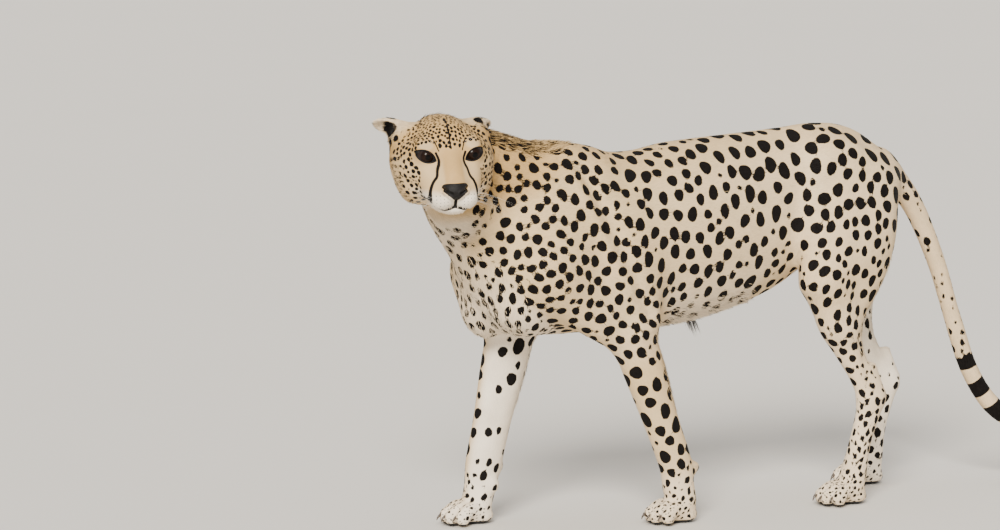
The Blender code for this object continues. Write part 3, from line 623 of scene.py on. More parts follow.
def with_modifier(obj, kind, **settings):
    """The object's mesh after one modifier."""
    modifier = obj.modifiers.new(kind.title(), kind)
    for name, value in settings.items():
        setattr(modifier, name, value)
    graph = bpy.context.evaluated_depsgraph_get()
    mesh = bpy.data.meshes.new_from_object(obj.evaluated_get(graph))
    obj.modifiers.clear()
    obj.data = mesh
    return obj


def points_of(mesh):
    found = np.empty(len(mesh.vertices) * 3)
    mesh.vertices.foreach_get("co", found)
    return found.reshape(-1, 3)


def edges_of(mesh):
    """The two ends of every edge, as two rows."""
    found = np.empty(len(mesh.edges) * 2, np.int64)
    mesh.edges.foreach_get("vertices", found)
    return found.reshape(-1, 2).T


def count_neighbours(edges, size):
    a, b = edges
    return np.bincount(a, minlength=size) + np.bincount(b, minlength=size)


def mean_of_neighbours(edges, values):
    a, b = edges
    total = np.zeros_like(values)
    for axis in range(values.shape[1]):
        total[:, axis] = (np.bincount(a, values[b, axis], len(values))
                          + np.bincount(b, values[a, axis], len(values)))
    return total / count_neighbours(edges, len(values))[:, None]


def relax(mesh, points, share):
    """Evens out the spacing of the points, each towards the middle of its neighbours."""
    return points + share * (mean_of_neighbours(edges_of(mesh), points) - points)


def make_finer(mesh, centre, radius):
    """Halves the spacing of the points round a place."""
    bm = bmesh.new()
    bm.from_mesh(mesh)
    near = {v for v in bm.verts if (v.co - Vector(centre)).length < radius}
    edges = [e for e in bm.edges if e.verts[0] in near and e.verts[1] in near]
    bmesh.ops.subdivide_edges(bm, edges=edges, cuts=1, use_grid_fill=True)
    bmesh.ops.triangulate(bm, faces=[f for f in bm.faces if len(f.verts) > 4])
    bm.to_mesh(mesh)
    bm.free()


def set_points(mesh, points):
    mesh.vertices.foreach_set("co", points.astype(np.float32).ravel())
    mesh.update()


# ---- how deep the skin lies, and its finest forms -----------------------------------------
def ramp(values, start, end):
    """0 at start, 1 at end, and smooth between."""
    share = np.clip((np.asarray(values, float) - start) / (end - start), 0, 1)
    return share * share * (3 - 2 * share)


def along_and_away(points, start, end):
    """What share of the way from start to end each point lies at, and how far from that line."""
    run = end - start
    share = np.clip((points - start) @ run / (run @ run), 0, 1)
    return share, np.linalg.norm(points - start - share[:, None] * run, axis=1)


def near_line(points, line, steps=8):
    """Distance of points from a smooth line, in as many dimensions as both have."""
    rows = curve_through(line, steps)
    best = np.full(len(points), FAR)
    for start, end in zip(rows, rows[1:]):
        best = np.minimum(best, along_and_away(points, start, end)[1])
    return best


def coat_depth(points, head):
    """How far the skin lies below the outside of the coat."""
    depth = BODY_DEPTH + (LEG_DEPTH - BODY_DEPTH) * ramp(points[:, 2], 0.36, 0.28)
    depth += (PAW_DEPTH - LEG_DEPTH) * ramp(points[:, 2], 0.10, 0.05)
    local = head.local(points)
    reach = np.linalg.norm(local, axis=1)
    depth += (HEAD_DEPTH - depth) * ramp(reach, 0.125, 0.085)
    depth += (FACE_DEPTH - depth) * ramp(np.linalg.norm(local - (0, 0.06, -0.01), axis=1), 0.07, 0.05)
    for side in (1, -1):
        away = np.linalg.norm(local - (side * EYE_PLACE[0], *EYE_PLACE[1:]), axis=1)
        depth += (LID_DEPTH - depth) * ramp(away, 0.028, 0.020)
    return depth


def mirrored(local):
    """Places in the head's own frame, with its left half laid over its right."""
    return np.column_stack([np.abs(local[:, 0]), local[:, 1:]])


def mouth_distance(local):
    """Distance from the lines between the lips and below the nose, in the head's own frame."""
    flat = mirrored(local)
    front = np.minimum(near_line(flat[:, [0, 2]], PHILTRUM), near_line(flat[:, [0, 2]], LIPS_FRONT))
    front += np.maximum(0, 0.070 - local[:, 1])
    side = near_line(local[:, 1:], LIPS_SIDE) + np.maximum(0, 0.024 - flat[:, 0])
    return np.minimum(front, side)


def nose_inset(local):
    """How far inside the edge of the nose leather a place is; below zero outside it."""
    x, y, z = local.T
    low, high = NOSE_HEIGHT
    half = NOSE_HALF[0] + (NOSE_HALF[1] - NOSE_HALF[0]) * ramp(z, low, high - 0.006)
    top = high - NOSE_ARCH * x**2 * ramp(np.abs(x), 0, 0.02)
    edges = np.array([half - np.abs(x), z - low, top - z, y - NOSE_BACK])
    return -NOSE_SOFTNESS * np.log(np.exp(np.clip(-edges / NOSE_SOFTNESS, -30, 30)).sum(0))


def nostril_distance(local):
    return near_line(mirrored(local)[:, [0, 2]], NOSTRIL) + np.maximum(0, 0.086 - local[:, 1])


def sculpt_face(points, normals, head):
    """Presses the mouth, the nostrils and the fold under each eye into the skin."""
    local = head.local(points)
    face = ramp(local[:, 1], 0.035, 0.050)
    sunk = 0.0026 * np.exp(-(mouth_distance(local) / 0.0019) ** 2)
    sunk += 0.0042 * np.exp(-(nostril_distance(local) / 0.0022) ** 2)
    sunk -= 0.0006 * np.exp(-((nostril_distance(local) - 0.0042) / 0.0016) ** 2)
    sunk += 0.0005 * np.exp(-(nose_inset(local) / 0.0012) ** 2)
    return points - normals * (sunk * face)[:, None] * HEAD_SCALE


def fold_depth(points):
    """How deep the folds of the body are pressed in at each point."""
    total = np.zeros(len(points))
    for side, sign in (("left", 1), ("right", -1)):
        for (line, depth, width), forward in zip(FOLDS, FOLD_SHIFTS[side]):
            placed = np.array(line) * (1, sign, 1) + (forward, 0, 0)
            total += depth * np.exp(-(near_line(points, placed.tolist(), 3) / width) ** 2)
    return total


def press_folds(points, normals):
    """Presses the folds in, and turns the normals with them."""
    step = 0.001
    slope = np.column_stack([(fold_depth(points + move) - fold_depth(points - move)) / (2 * step)
                             for move in np.eye(3) * step])
    moved = points - normals * fold_depth(points)[:, None]
    turned = normals + slope - normals * (slope * normals).sum(1)[:, None]
    return moved, turned / np.linalg.norm(turned, axis=1)[:, None]


def settle(mesh, flesh, rounds, depth=None, most=0.012):
    """Moves each point of the mesh onto the skin, depth(points) inside the outer surface."""
    points = points_of(mesh)
    for turn in range(rounds):
        points = relax(mesh, points, 0.5 if turn < rounds - 1 else 0.0)
        for _ in range(2):
            slope = flesh.slope(points)
            steep = np.maximum((slope**2).sum(1), 0.3)
            gap = flesh.distance(points) + (depth(points) if depth else 0.0)
            move = -slope * (gap / steep)[:, None]
            size = np.linalg.norm(move, axis=1)[:, None]
            points += move * np.minimum(1, most / np.maximum(size, 1e-9))
    set_points(mesh, points)


def wrap(flesh, head):
    """The whole animal as one closed skin."""
    animal = new_object("skin", beads_mesh(flesh))
    with_modifier(animal, "REMESH", mode="VOXEL", voxel_size=VOXEL)
    settle(animal.data, flesh, 3)
    make_finer(animal.data, head.centre, HEAD_REACH)
    make_finer(animal.data, head.place(0, 0.05, 0), FACE_REACH)
    make_finer(animal.data, head.place(0, 0.09, -0.035), MOUTH_REACH)
    for side in (1, -1):
        make_finer(animal.data, head.place(side * 0.034, 0.055, 0.0205), EYE_REACH)
    for leg in (*FORELEGS.values(), *HINDLEGS.values()):
        x, z = leg["knuckle"]
        make_finer(animal.data, (x - 0.04, leg["side"] * leg["out"], z - 0.012), PAW_REACH)
    settle(animal.data, flesh, 2, lambda points: coat_depth(points, head))
    points = points_of(animal.data)
    points[:, 2] = np.maximum(points[:, 2], SOLE_LEVEL + 0.0004)
    slope = flesh.slope(points)
    normals = slope / np.maximum(np.linalg.norm(slope, axis=1), 1e-9)[:, None]
    points, normals = press_folds(points, normals)
    set_points(animal.data, sculpt_face(points, normals, head))
    return animal, normals


# ---- lie and markings of the coat ---------------------------------------------------------
def bones(head):
    """Stretches of the body: part, start, end, rough radius, and then, at start and end, how
    loosely the spots are set, their half length along the coat and half width across it, and
    how tawny and how pale the coat is there. The coat lies from start to end."""
    found = [
        ("trunk", (-0.10, 0, 0.54), (0.62, 0, 0.60), 0.115, (2.15, 2.30), (0.0082, 0.0124),
         (0.0103, 0.0156), (0.40, 0.12), (0.0, 0.15)),
        ("breast", (-0.150, 0, 0.58), (-0.125, 0, 0.40), 0.075, (2.2, 2.5), (0.0092, 0.0088),
         (0.0076, 0.0058), (0.5, 0.30), (0.0, 0.50)),
        ("neck", head.place(0, -0.08, 0.01), (-0.05, 0, 0.585), 0.078, (2.1, 2.15),
         (0.0072, 0.0084), (0.0086, 0.0106), (1.0, 0.80), (0.0, 0.0)),
        ("head", head.place(0, 0.085, -0.03), head.place(0, -0.060, 0.02), 0.058, (3.0, 3.0),
         (0.0030, 0.0030), (0.0026, 0.0026), (0.7, 0.8), (0.1, 0.1)),
    ]
    upper, lower, wrist, toes = (2.15, 2.15), (2.15, 2.2), (2.4, 2.5), (3.2, 3.4)
    for name, leg in FORELEGS.items():
        joints = [leg["shoulder"], leg["elbow"], leg["wrist"], leg["knuckle"]]
        joints = [(x, leg["side"] * leg["out"], z) for x, z in joints]
        toe = (joints[-1][0] - PAW_LENGTH, joints[-1][1], 0.015)
        part = f"foreleg_{name}"
        found += [
            (part, joints[0], joints[1], 0.062, upper, (0.0086, 0.0100), (0.0094, 0.0086),
             (0.35, 0.35), (0.0, 0.15)),
            (part, joints[1], joints[2], 0.040, lower, (0.0142, 0.0112), (0.0120, 0.0084),
             (0.45, 0.40), (0.0, 0.12)),
            (part, joints[2], joints[3], 0.031, wrist, (0.0080, 0.0052), (0.0060, 0.0040),
             (0.3, 0.3), (0.45, 0.45)),
            (part, joints[3], toe, 0.032, toes, (0.0036, 0.0026), (0.0028, 0.0022),
             (0.3, 0.3), (0.45, 0.5)),
        ]
    for name, leg in HINDLEGS.items():
        joints = [leg["hip"], leg["knee"], leg["heel"], leg["knuckle"]]
        joints = [(x, leg["side"] * leg["out"], z) for x, z in joints]
        toe = (joints[-1][0] - PAW_LENGTH, joints[-1][1], 0.015)
        part = f"hindleg_{name}"
        found += [
            (part, joints[0], joints[1], 0.085, upper, (0.0118, 0.0106), (0.0106, 0.0090),
             (0.2, 0.25), (0.1, 0.1)),
            (part, joints[1], joints[2], 0.042, lower, (0.0100, 0.0080), (0.0080, 0.0060),
             (0.3, 0.3), (0.2, 0.35)),
            (part, joints[2], joints[3], 0.030, wrist, (0.0068, 0.0050), (0.0052, 0.0038),
             (0.3, 0.3), (0.4, 0.45)),
            (part, joints[3], toe, 0.032, toes, (0.0032, 0.0024), (0.0026, 0.0020),
             (0.3, 0.3), (0.45, 0.5)),
        ]
    places = [place for place, _ in TAIL]
    for a, b in zip(places[1:], places[2:]):
        found.append(("tail", a, b, 0.030, (2.1, 2.1), (0.0094, 0.0094), (0.0074, 0.0074),
                      (0.4, 0.4), (0.2, 0.2)))
    for side, (middle, out, *_) in EARS.items():
        length = np.array(out) / np.linalg.norm(out) * EAR_HALF[0]
        found.append((f"ear_{side}", head.place(*(middle - length)), head.place(*(middle + length)),
                      0.021, (3.0, 3.0), (0.001, 0.001), (0.001, 0.001), (0.5, 0.3), (0.2, 0.5)))
    return found


def spread(edges, values, turns):
    """Evens values out over the mesh."""
    for _ in range(turns):
        values = 0.5 * values + 0.5 * mean_of_neighbours(edges, values)
    return values


def tree_of(places):
    """Places sorted for finding those near a given one."""
    tree = KDTree(len(places))
    for i, place in enumerate(places):
        tree.insert(place, i)
    tree.balance()
    return tree


class Skin:
    """The skin as arrays of points and corners, with all that the coat needs to know there."""

    def __init__(self, obj, normals, head):
        mesh = obj.data
        self.obj, self.head = obj, head
        self.points, self.normals = points_of(mesh), normals
        self.local = head.local(self.points)
        self.edges = edges_of(mesh)
        mesh.calc_loop_triangles()
        self.triangles = np.empty((len(mesh.loop_triangles), 3), np.int64)
        mesh.loop_triangles.foreach_get("vertices", self.triangles.ravel())
        corners = np.empty((len(mesh.loop_triangles), 3), np.int64)
        mesh.loop_triangles.foreach_get("loops", corners.ravel())
        self.corners = corners
        a, b, c = (self.points[self.triangles[:, i]] for i in range(3))
        self.area = np.linalg.norm(np.cross(b - a, c - a), axis=1) / 2
        self.find_parts()
        self.tree = tree_of(self.points)

    def find_parts(self):
        rows = bones(self.head)
        best = np.full(len(self.points), 99.0)
        part = np.zeros(len(self.points), int)
        numbers = np.zeros((len(self.points), 8))  # lie (3), loose, along, across, tawny, pale
        self.parts = [row[0] for row in rows]
        for i, (_, start, end, radius, *pairs) in enumerate(rows):
            start, end = np.array(start, float), np.array(end, float)
            run = end - start
            share, away = along_and_away(self.points, start, end)
            away = away / radius
            nearest = away < best
            best[nearest] = away[nearest]
            part[nearest] = i
            numbers[nearest, :3] = run / np.linalg.norm(run)
            for column, (first, last) in enumerate(pairs, 3):
                numbers[nearest, column] = (first + (last - first) * share)[nearest]
        names = sorted(set(self.parts))
        self.part = np.array([names.index(name) for name in self.parts])[part]
        self.part_names = names
        face = self.is_part("head")
        away = self.points - self.head.place(*NOSE_TIP)
        numbers[face, :3] = (away / np.linalg.norm(away, axis=1)[:, None])[face]
        numbers = spread(self.edges, numbers, 14)
        lie = numbers[:, :3]
        lie -= self.normals * (lie * self.normals).sum(1)[:, None]
        lie = spread(self.edges, lie / np.maximum(np.linalg.norm(lie, axis=1), 1e-6)[:, None], 6)
        lie -= self.normals * (lie * self.normals).sum(1)[:, None]
        self.lie = lie / np.maximum(np.linalg.norm(lie, axis=1), 1e-6)[:, None]
        self.loose, self.along, self.across, self.tawny, self.pale = numbers[:, 3:].T.copy()

    def is_part(self, start):
        return np.isin(self.part, [i for i, n in enumerate(self.part_names) if n.startswith(start)])

    def read(self, places, *names):
        """Painted values at any places near the skin, from the nearest point and its slopes."""
        find = self.tree.find
        near = np.array([find(place)[1] for place in places])
        offset = places - self.points[near]
        found = []
        for name in names:
            value, slope = self.values[name], self.slopes[name]
            found.append(value[near] + (slope[near] * offset).sum(1))
        return found

    def add_values(self, **values):
        """Keeps painted values, with how each changes over the skin."""
        self.values = values
        a, b = self.edges
        step = self.points[b] - self.points[a]
        step /= np.maximum((step**2).sum(1), 1e-12)[:, None]
        count = count_neighbours(self.edges, len(self.points))
        self.slopes = {}
        for name, value in values.items():
            rise = (value[b] - value[a])[:, None] * step
            total = np.column_stack([np.bincount(a, rise[:, i], len(self.points))
                                     + np.bincount(b, rise[:, i], len(self.points))
                                     for i in range(3)])
            self.slopes[name] = 2 * total / count[:, None]

    def pick(self, weights, count, random):
        """Random places on the skin: triangle of each, and shares of its corners."""
        running = np.cumsum(weights)
        chosen = np.searchsorted(running, random.random(count) * running[-1])
        shares = random.random((count, 2))
        folded = shares.sum(1) > 1
        shares[folded] = 1 - shares[folded]
        return chosen, np.column_stack([1 - shares.sum(1), shares])

    def unwrap(self):
        """The bake's map: an unwrap of the skin's own shape."""
        bpy.context.view_layer.objects.active = self.obj
        self.obj.select_set(True)
        self.obj.data.uv_layers.new(name=BAKE_MAP)
        bpy.ops.object.mode_set(mode="EDIT")
        bpy.ops.mesh.select_all(action="SELECT")
        bpy.ops.uv.smart_project(angle_limit=math.radians(66), island_margin=0.004)
        bpy.ops.object.mode_set(mode="OBJECT")
        layer = self.obj.data.uv_layers[BAKE_MAP]
        found = np.empty(len(layer.data) * 2)
        layer.data.foreach_get("uv", found)
        self.map = found.reshape(-1, 2)

    def map_at(self, chosen, shares):
        return (self.map[self.corners[chosen]] * shares[:, :, None]).sum(1)

    def at(self, values, chosen, shares):
        """Values of the points, read at places that pick() found."""
        corners = values[self.triangles[chosen]]
        if corners.ndim == 3:
            return (corners * shares[:, :, None]).sum(1)
        return (corners * shares).sum(1)


def plan_head_spots(skin):
    """Tiny dense spots on the forehead, small loose ones on the cheeks, none round the eyes."""
    x, y, z = skin.local.T
    head = skin.is_part("head")
    brow = ramp(z, 0.026, 0.040)
    for values, forehead, cheek in ((skin.loose, 1.78, 2.45), (skin.along, 0.0038, 0.0043),
                                    (skin.across, 0.0031, 0.0035)):
        values[head] = (cheek + (forehead - cheek) * brow)[head]
    flat = np.column_stack([np.abs(x), z])
    eyes = np.linalg.norm(flat - (0.033, 0.018), axis=1)
    plain = (eyes < 0.0225) & (y > 0.02)
    plain |= (y > 0.052) & (z < 0.034)
    plain |= (y > 0.020) & (z < -0.052)
    plain &= head
    throat = ~head & (z < -0.05) & (z > -0.110) & (y > -0.060) & (np.abs(x + 0.005) < 0.040)
    skin.plain = plain | throat | skin.is_part("ear")
    far = (np.linalg.norm(skin.local, axis=1) > FINE_MESH) & ~skin.is_part("tail")
    skin.far = far.astype(float)


def even_out(places, kept, turns=10):
    """Moves each kept place towards the middle of the places that are nearest to it."""
    every = tree_of(places)
    for _ in range(turns):
        tree = tree_of(places[kept])
        owner = np.array([tree.find(place)[1] for place in places])
        count = np.maximum(np.bincount(owner, minlength=len(kept)), 1)
        middle = np.column_stack([np.bincount(owner, places[:, axis], len(kept)) / count
                                  for axis in range(3)])
        kept = [every.find(place)[1] for place in middle]
    return kept


def scatter_spots(skin, random, tries=60000):
    """Places for spots: evenly spread ones kept apart, and small ones in what is left free."""
    size = skin.along * skin.across * skin.loose**2
    chosen, shares = skin.pick(skin.area / size[skin.triangles].mean(1), tries, random)
    plain = skin.at(skin.plain.astype(float), chosen, shares) > 0.3
    chosen, shares = chosen[~plain], shares[~plain]
    places, lies, normals, along, across, loose = (
        skin.at(values, chosen, shares)
        for values in (skin.points, skin.lie, skin.normals, skin.along, skin.across, skin.loose))
    sides = np.cross(normals, lies)
    middling = np.sqrt(along * across)
    most = GAP_SHARE + GAP_GROWTH * ramp(middling, 0.0035, 0.0080)
    gap = np.minimum(SPOT_GAP / middling, most)
    store = np.empty((len(places), 3))

    def apart(i, count):
        """How many of its own radii place i lies from each of the first stored places."""
        offset = store[:count] - places[i]
        away = np.hypot(offset @ lies[i] / along[i], offset @ sides[i] / across[i])
        return np.where(np.abs(offset @ normals[i]) < 3 * along[i] + 0.01, away, FAR)

    kept = []
    for i in range(len(places)):
        if not kept or apart(i, len(kept)).min() > loose[i]:
            store[len(kept)] = places[i]
            kept.append(i)
    kept = even_out(places, kept)
    store[: len(kept)] = places[kept]
    sizes = np.empty(len(places))
    for k, i in enumerate(kept):
        away = apart(i, len(kept))
        away[k] = FAR
        sizes[k] = min(math.exp(random.normal(*SPOT_SIZES)), (away.min() - gap[i]) / 2)
    for i in range(len(places)):
        room = (apart(i, len(kept)) - sizes[: len(kept)]).min() - FILLER_GAP * gap[i]
        if room > SMALL_SPOT + FILLER_ROOM:
            store[len(kept)] = places[i]
            sizes[len(kept)] = min(room, random.uniform(SMALL_SPOT, FILLER_SPOT))
            kept.append(i)
    return chosen[kept], shares[kept], sizes[: len(kept)]


def paint_spots(skin, random, scale):
    """Sets out the spots, and says how far inside one each point of the skin is."""
    chosen, shares, sizes = scatter_spots(skin, random)
    centres = skin.at(skin.points, chosen, shares)
    normals = skin.at(skin.normals, chosen, shares)
    lies = skin.at(skin.lie, chosen, shares)
    along = skin.at(skin.along, chosen, shares) * sizes * scale
    across = skin.at(skin.across, chosen, shares) * sizes * scale
    turn = random.normal(0, 0.28, len(sizes))[:, None]
    phase = random.random((len(sizes), 2)) * math.tau
    sides = np.cross(normals, lies)
    skin.spots = list(zip(centres, normals, lies * np.cos(turn) + sides * np.sin(turn),
                          sides * np.cos(turn) - lies * np.sin(turn), along, across, phase))
    inset = inset_among(skin.spots, skin.points, skin.normals, skin.tree)
    start, end = skin.triangles.ravel(), np.roll(skin.triangles, 1, axis=1).ravel()
    inside = (start < end) & (inset[start] > 0) & (inset[end] > 0)
    start, end = start[inside], end[inside]
    middles = (skin.points[start] + skin.points[end]) / 2
    between = inset_among(skin.spots, middles, skin.normals[start], tree_of(middles))
    outer = np.where(inset[start] < inset[end], start, end)
    parted = between < 0  # two spots with too little mesh between them
    np.minimum.at(inset, outer[parted], between[parted])
    return inset


def inset_among(spots, places, normals, tree):
    """How far inside the edge of a spot each place is, in metres; below zero between spots."""
    inset = np.full(len(places), NO_MARK)
    for centre, normal, forward, sideways, along, across, phase in spots:
        reach = 1.6 * max(along, across) + 0.003
        near = np.array([hit[1] for hit in tree.find_range(centre, reach)], int)
        if not len(near):
            continue
        near = near[normals[near] @ normal > 0.2]
        offset = places[near] - centre
        u, v = offset @ forward / along, offset @ sideways / across
        angle = np.arctan2(v, u)
        wobble = 1 + 0.09 * np.sin(2 * angle + phase[0]) + 0.06 * np.sin(3 * angle + phase[1])
        found = (1 - np.hypot(u, v) * wobble) * math.sqrt(along * across)
        inset[near] = np.maximum(inset[near], found)
    return inset


def paint_face(skin, spot):
    """Tear lines, brow streaks, whisker rows and dark ears (black backs, and hollows dark partly with
    painted shade), added to the spots; and bare skin.
    """
    local = skin.local
    x, y, z = local.T
    flat = mirrored(local)[:, [0, 2]]
    head = skin.is_part("head")
    face = head & (y > 0.028)
    tears = near_line(flat, TEAR_LINE)
    width = 0.0019 + 0.0002 * ramp(z, -0.010, -0.030)
    spot[face] = np.maximum(spot, width - tears)[face]
    for line, half in ((BROW_STREAK, 0.0009), (OUTER_STREAK, 0.0008)):
        streak = half - near_line(flat, line)
        spot[face] = np.maximum(spot, streak)[face]
    middle = 0.0013 * ramp(z, 0.026, 0.040) - np.abs(x) - 0.0006 * np.sin(z * 900)
    forehead = head & (z > 0.028) & (y > 0.0)
    spot[forehead] = np.maximum(spot, middle)[forehead]
    for row in range(4):
        for step in range(5):
            dot = (0.0125 + 0.0055 * step, -0.0315 - 0.0052 * row - 0.0006 * step)
            away = np.linalg.norm(flat - dot, axis=1)
            spot[face] = np.maximum(spot, 0.0007 - away)[face]
    spot[face] = np.maximum(spot, 0.0025 - mouth_distance(local))[face]
    bare = np.full(len(spot), NO_MARK)
    bare = np.maximum(bare, np.where(y > 0.08, nose_inset(local), NO_MARK))
    lips = 0.0017 - mouth_distance(local)
    bare = np.where(face, np.maximum(bare, lips), bare)
    for slit in skin.flesh.slits():
        near = np.linalg.norm(skin.points - slit.centre, axis=1) < 0.030
        rim = 0.0026 - slit.distance(skin.points[near])
        bare[near] = np.maximum(bare[near], rim)
    sole = (skin.points[:, 2] < 0.020) & (skin.normals[:, 2] < -0.2)
    bare[sole] = np.maximum(bare, 0.007 - skin.points[:, 2])[sole]
    for leg in FORELEGS.values():
        pad = np.array((leg["wrist"][0] + leg["pad"] + 0.008, leg["side"] * (leg["out"] + 0.004),
                        leg["wrist"][1] - 0.016))
        away = np.linalg.norm(skin.points - pad, axis=1)
        bare = np.maximum(bare, 0.009 - away)
    # the hollow of each ear painted black: partly its dark inner skin, partly painted shade
    for cup in skin.flesh.cups():
        inside = FULL_MARK - cup.distance(skin.points)
        spot = np.maximum(spot, np.clip(inside, NO_MARK, FULL_MARK))
    # the left ear's dark inside at its front: partly its own dark skin, partly painted shade
    for place, radius in EAR_DARK_AND_SHADE:
        spot = np.maximum(spot, radius - np.linalg.norm(local - place, axis=1))
    for side, (centre, _, facing, _) in EARS.items():
        ear = skin.is_part(f"ear_{side}")
        away = np.linalg.norm(local - centre, axis=1)
        behind = skin.normals @ (np.array(facing) @ skin.head.axes) < -0.1
        spot[ear & behind] = np.maximum(spot, EAR_PATCH - away)[ear & behind]
    return spot, bare


def paint_ground(skin):
    """How tawny and how white the coat is between its spots."""
    z = skin.points[:, 2]
    ny, nz = skin.normals[:, 1], skin.normals[:, 2]
    local_x, local_y, local_z = skin.local.T
    tawny, pale = skin.tawny, skin.pale
    trunk = skin.is_part("trunk") | skin.is_part("breast")
    back = ramp(nz, 0.25, 0.9)
    tawny += 0.35 * back * trunk
    belly = ramp(nz, -0.15, -0.75)
    pale += (0.62 - pale) * belly * trunk
    neck = skin.is_part("neck")
    pale += (0.45 - pale) * ramp(nz, -0.1, -0.7) * neck
    tawny += (0.45 - tawny) * ramp(nz, -0.1, -0.7) * neck
    for side, sign in (("left", -1), ("right", 1)):
        inner = ramp(-sign * ny, 0.05, 0.55)
        for part in ("foreleg", "hindleg"):
            leg = skin.is_part(f"{part}_{side}")
            low = ramp(z, 0.46, 0.38)
            pale += (0.95 - pale) * inner * leg * low
            skin.loose[leg] *= (1 + 0.12 * inner * low)[leg]
            skin.along[leg] *= (1 + 0.16 * inner * low)[leg]
            skin.across[leg] *= (1 + 0.26 * inner * low)[leg]
    head = skin.is_part("head")
    flat = np.column_stack([np.abs(local_x), local_z])
    white = ramp(local_z, -0.022, -0.038) * ramp(local_y, 0.015, 0.045)
    white *= 1 - 0.6 * ramp(local_z, -0.058, -0.066)
    under = np.linalg.norm((flat - (0.034, -0.002)) / (1.5, 1.0), axis=1)
    white = np.maximum(white, 0.08 * ramp(under, 0.0125, 0.004) * (local_y > 0.02))
    over = np.linalg.norm((flat - (0.036, 0.037)) / (1.4, 0.8), axis=1)
    white = np.maximum(white, 0.25 * ramp(over, 0.011, 0.005) * (local_y > 0.02))
    pale += (np.maximum(white, 0.05) - pale) * head
    warm = 0.62 + 0.38 * ramp(local_z, 0.004, 0.026)
    warm = np.maximum(warm, 1.0 * ramp(np.abs(local_x), 0.022, 0.012) * (local_z > -0.02))
    tawny += (warm - tawny) * head
    skin.tawny, skin.pale = np.clip(tawny, 0, 1), np.clip(pale, 0, 1)
    both = spread(skin.edges, np.column_stack([skin.tawny, skin.pale]), 5)
    skin.tawny, skin.pale = both.T.copy()


def ring_the_tail(skin, spot):
    """Spots run together into dark rings towards the end of the tail, before a white tip."""
    tail = skin.is_part("tail")
    line = np.array([place for place, _ in TAIL], float)
    lengths = np.concatenate([[0], np.cumsum(np.linalg.norm(np.diff(line, axis=0), axis=1))])
    best, reach = np.full(len(skin.points), FAR), np.zeros(len(skin.points))
    for i, (start, end) in enumerate(zip(line, line[1:])):
        share, away = along_and_away(skin.points, start, end)
        nearer = away < best
        best[nearer] = away[nearer]
        reach[nearer] = (lengths[i] + share * (lengths[i + 1] - lengths[i]))[nearer]
    from_tip = lengths[-1] - reach
    ringed = tail & (from_tip < RINGED_LENGTH)
    wave = np.abs((from_tip - WHITE_TIP) % RING_PITCH - RING_PITCH / 2)
    rings = np.where(from_tip > WHITE_TIP, RING_PITCH * 0.27 - wave, WHITE_TIP * -0.5)
    spot[ringed] = rings[ringed]
    tip = tail & (from_tip < WHITE_TIP)
    skin.pale[tip] = 1.0
    return spot


# ---- shared shader groups and finishes ----------------------------------------------------
class Nodes:
    """A few words for building shader trees."""

    def __init__(self, tree):
        self.tree = tree

    def add(self, kind, _inputs=None, **settings):
        node = self.tree.nodes.new(kind)
        for name, value in settings.items():
            setattr(node, name, value)
        for socket, value in (_inputs or {}).items():
            self.feed(node.inputs[socket], value)
        return node

    def feed(self, socket, value):
        if isinstance(value, bpy.types.NodeSocket):
            self.tree.links.new(value, socket)
        else:
            socket.default_value = value

    def math(self, operation, *values, clamp=False):
        node = self.add("ShaderNodeMath", operation=operation, use_clamp=clamp)
        for socket, value in zip(node.inputs, values):
            self.feed(socket, value)
        return node.outputs[0]

    def mix(self, share, a, b, blend="MIX"):
        node = self.add("ShaderNodeMix", data_type="RGBA", blend_type=blend)
        for i, value in ((0, share), (6, a), (7, b)):
            self.feed(node.inputs[i], value)
        return node.outputs[2]

    def step(self, value, low, high):
        node = self.add("ShaderNodeMapRange", {0: value, 1: low, 2: high},
                        interpolation_type="SMOOTHSTEP")
        return node.outputs[0]

    def noise(self, vector, scale, detail=2.0):
        node = self.add("ShaderNodeTexNoise", {"Vector": vector, "Scale": scale, "Detail": detail})
        return node.outputs[0]

    def value_of(self, name):
        return self.add("ShaderNodeAttribute", attribute_name=name).outputs["Fac"]


def new_group(name, inputs, outputs):
    tree = bpy.data.node_groups.new(name, "ShaderNodeTree")
    for sort, rows in (("INPUT", inputs), ("OUTPUT", outputs)):
        for label, kind in rows:
            tree.interface.new_socket(label, in_out=sort, socket_type=f"NodeSocket{kind}")
    nodes = Nodes(tree)
    return nodes, nodes.add("NodeGroupInput").outputs, nodes.add("NodeGroupOutput").inputs


def fur_grain_group():
    """Fine streaks that run along the body, down the legs and back over the head."""
    nodes, given, result = new_group("Fur grain", [("Scale", "Float")],
                                     [("Height", "Float"), ("Tone", "Float")])
    place = nodes.add("ShaderNodeTexCoord").outputs["Object"]
    total = None
    for stretch, mask in (((0.14, 1, 1), None), ((1, 1, 0.14), "leg"), ((0.9, 0.25, 0.9), "head")):
        scaled = nodes.add("ShaderNodeVectorMath", {0: place, 1: stretch}, operation="MULTIPLY")
        streak = nodes.noise(scaled.outputs[0], given["Scale"], 3.0)
        if mask is None:
            total = streak
        else:
            share = nodes.value_of(mask)
            keep = nodes.math("MULTIPLY", total, nodes.math("SUBTRACT", 1.0, share))
            total = nodes.math("ADD", keep, nodes.math("MULTIPLY", streak, share))
    nodes.feed(result["Height"], total)
    nodes.feed(result["Tone"], nodes.noise(place, 26.0, 3.0))
    return nodes.tree


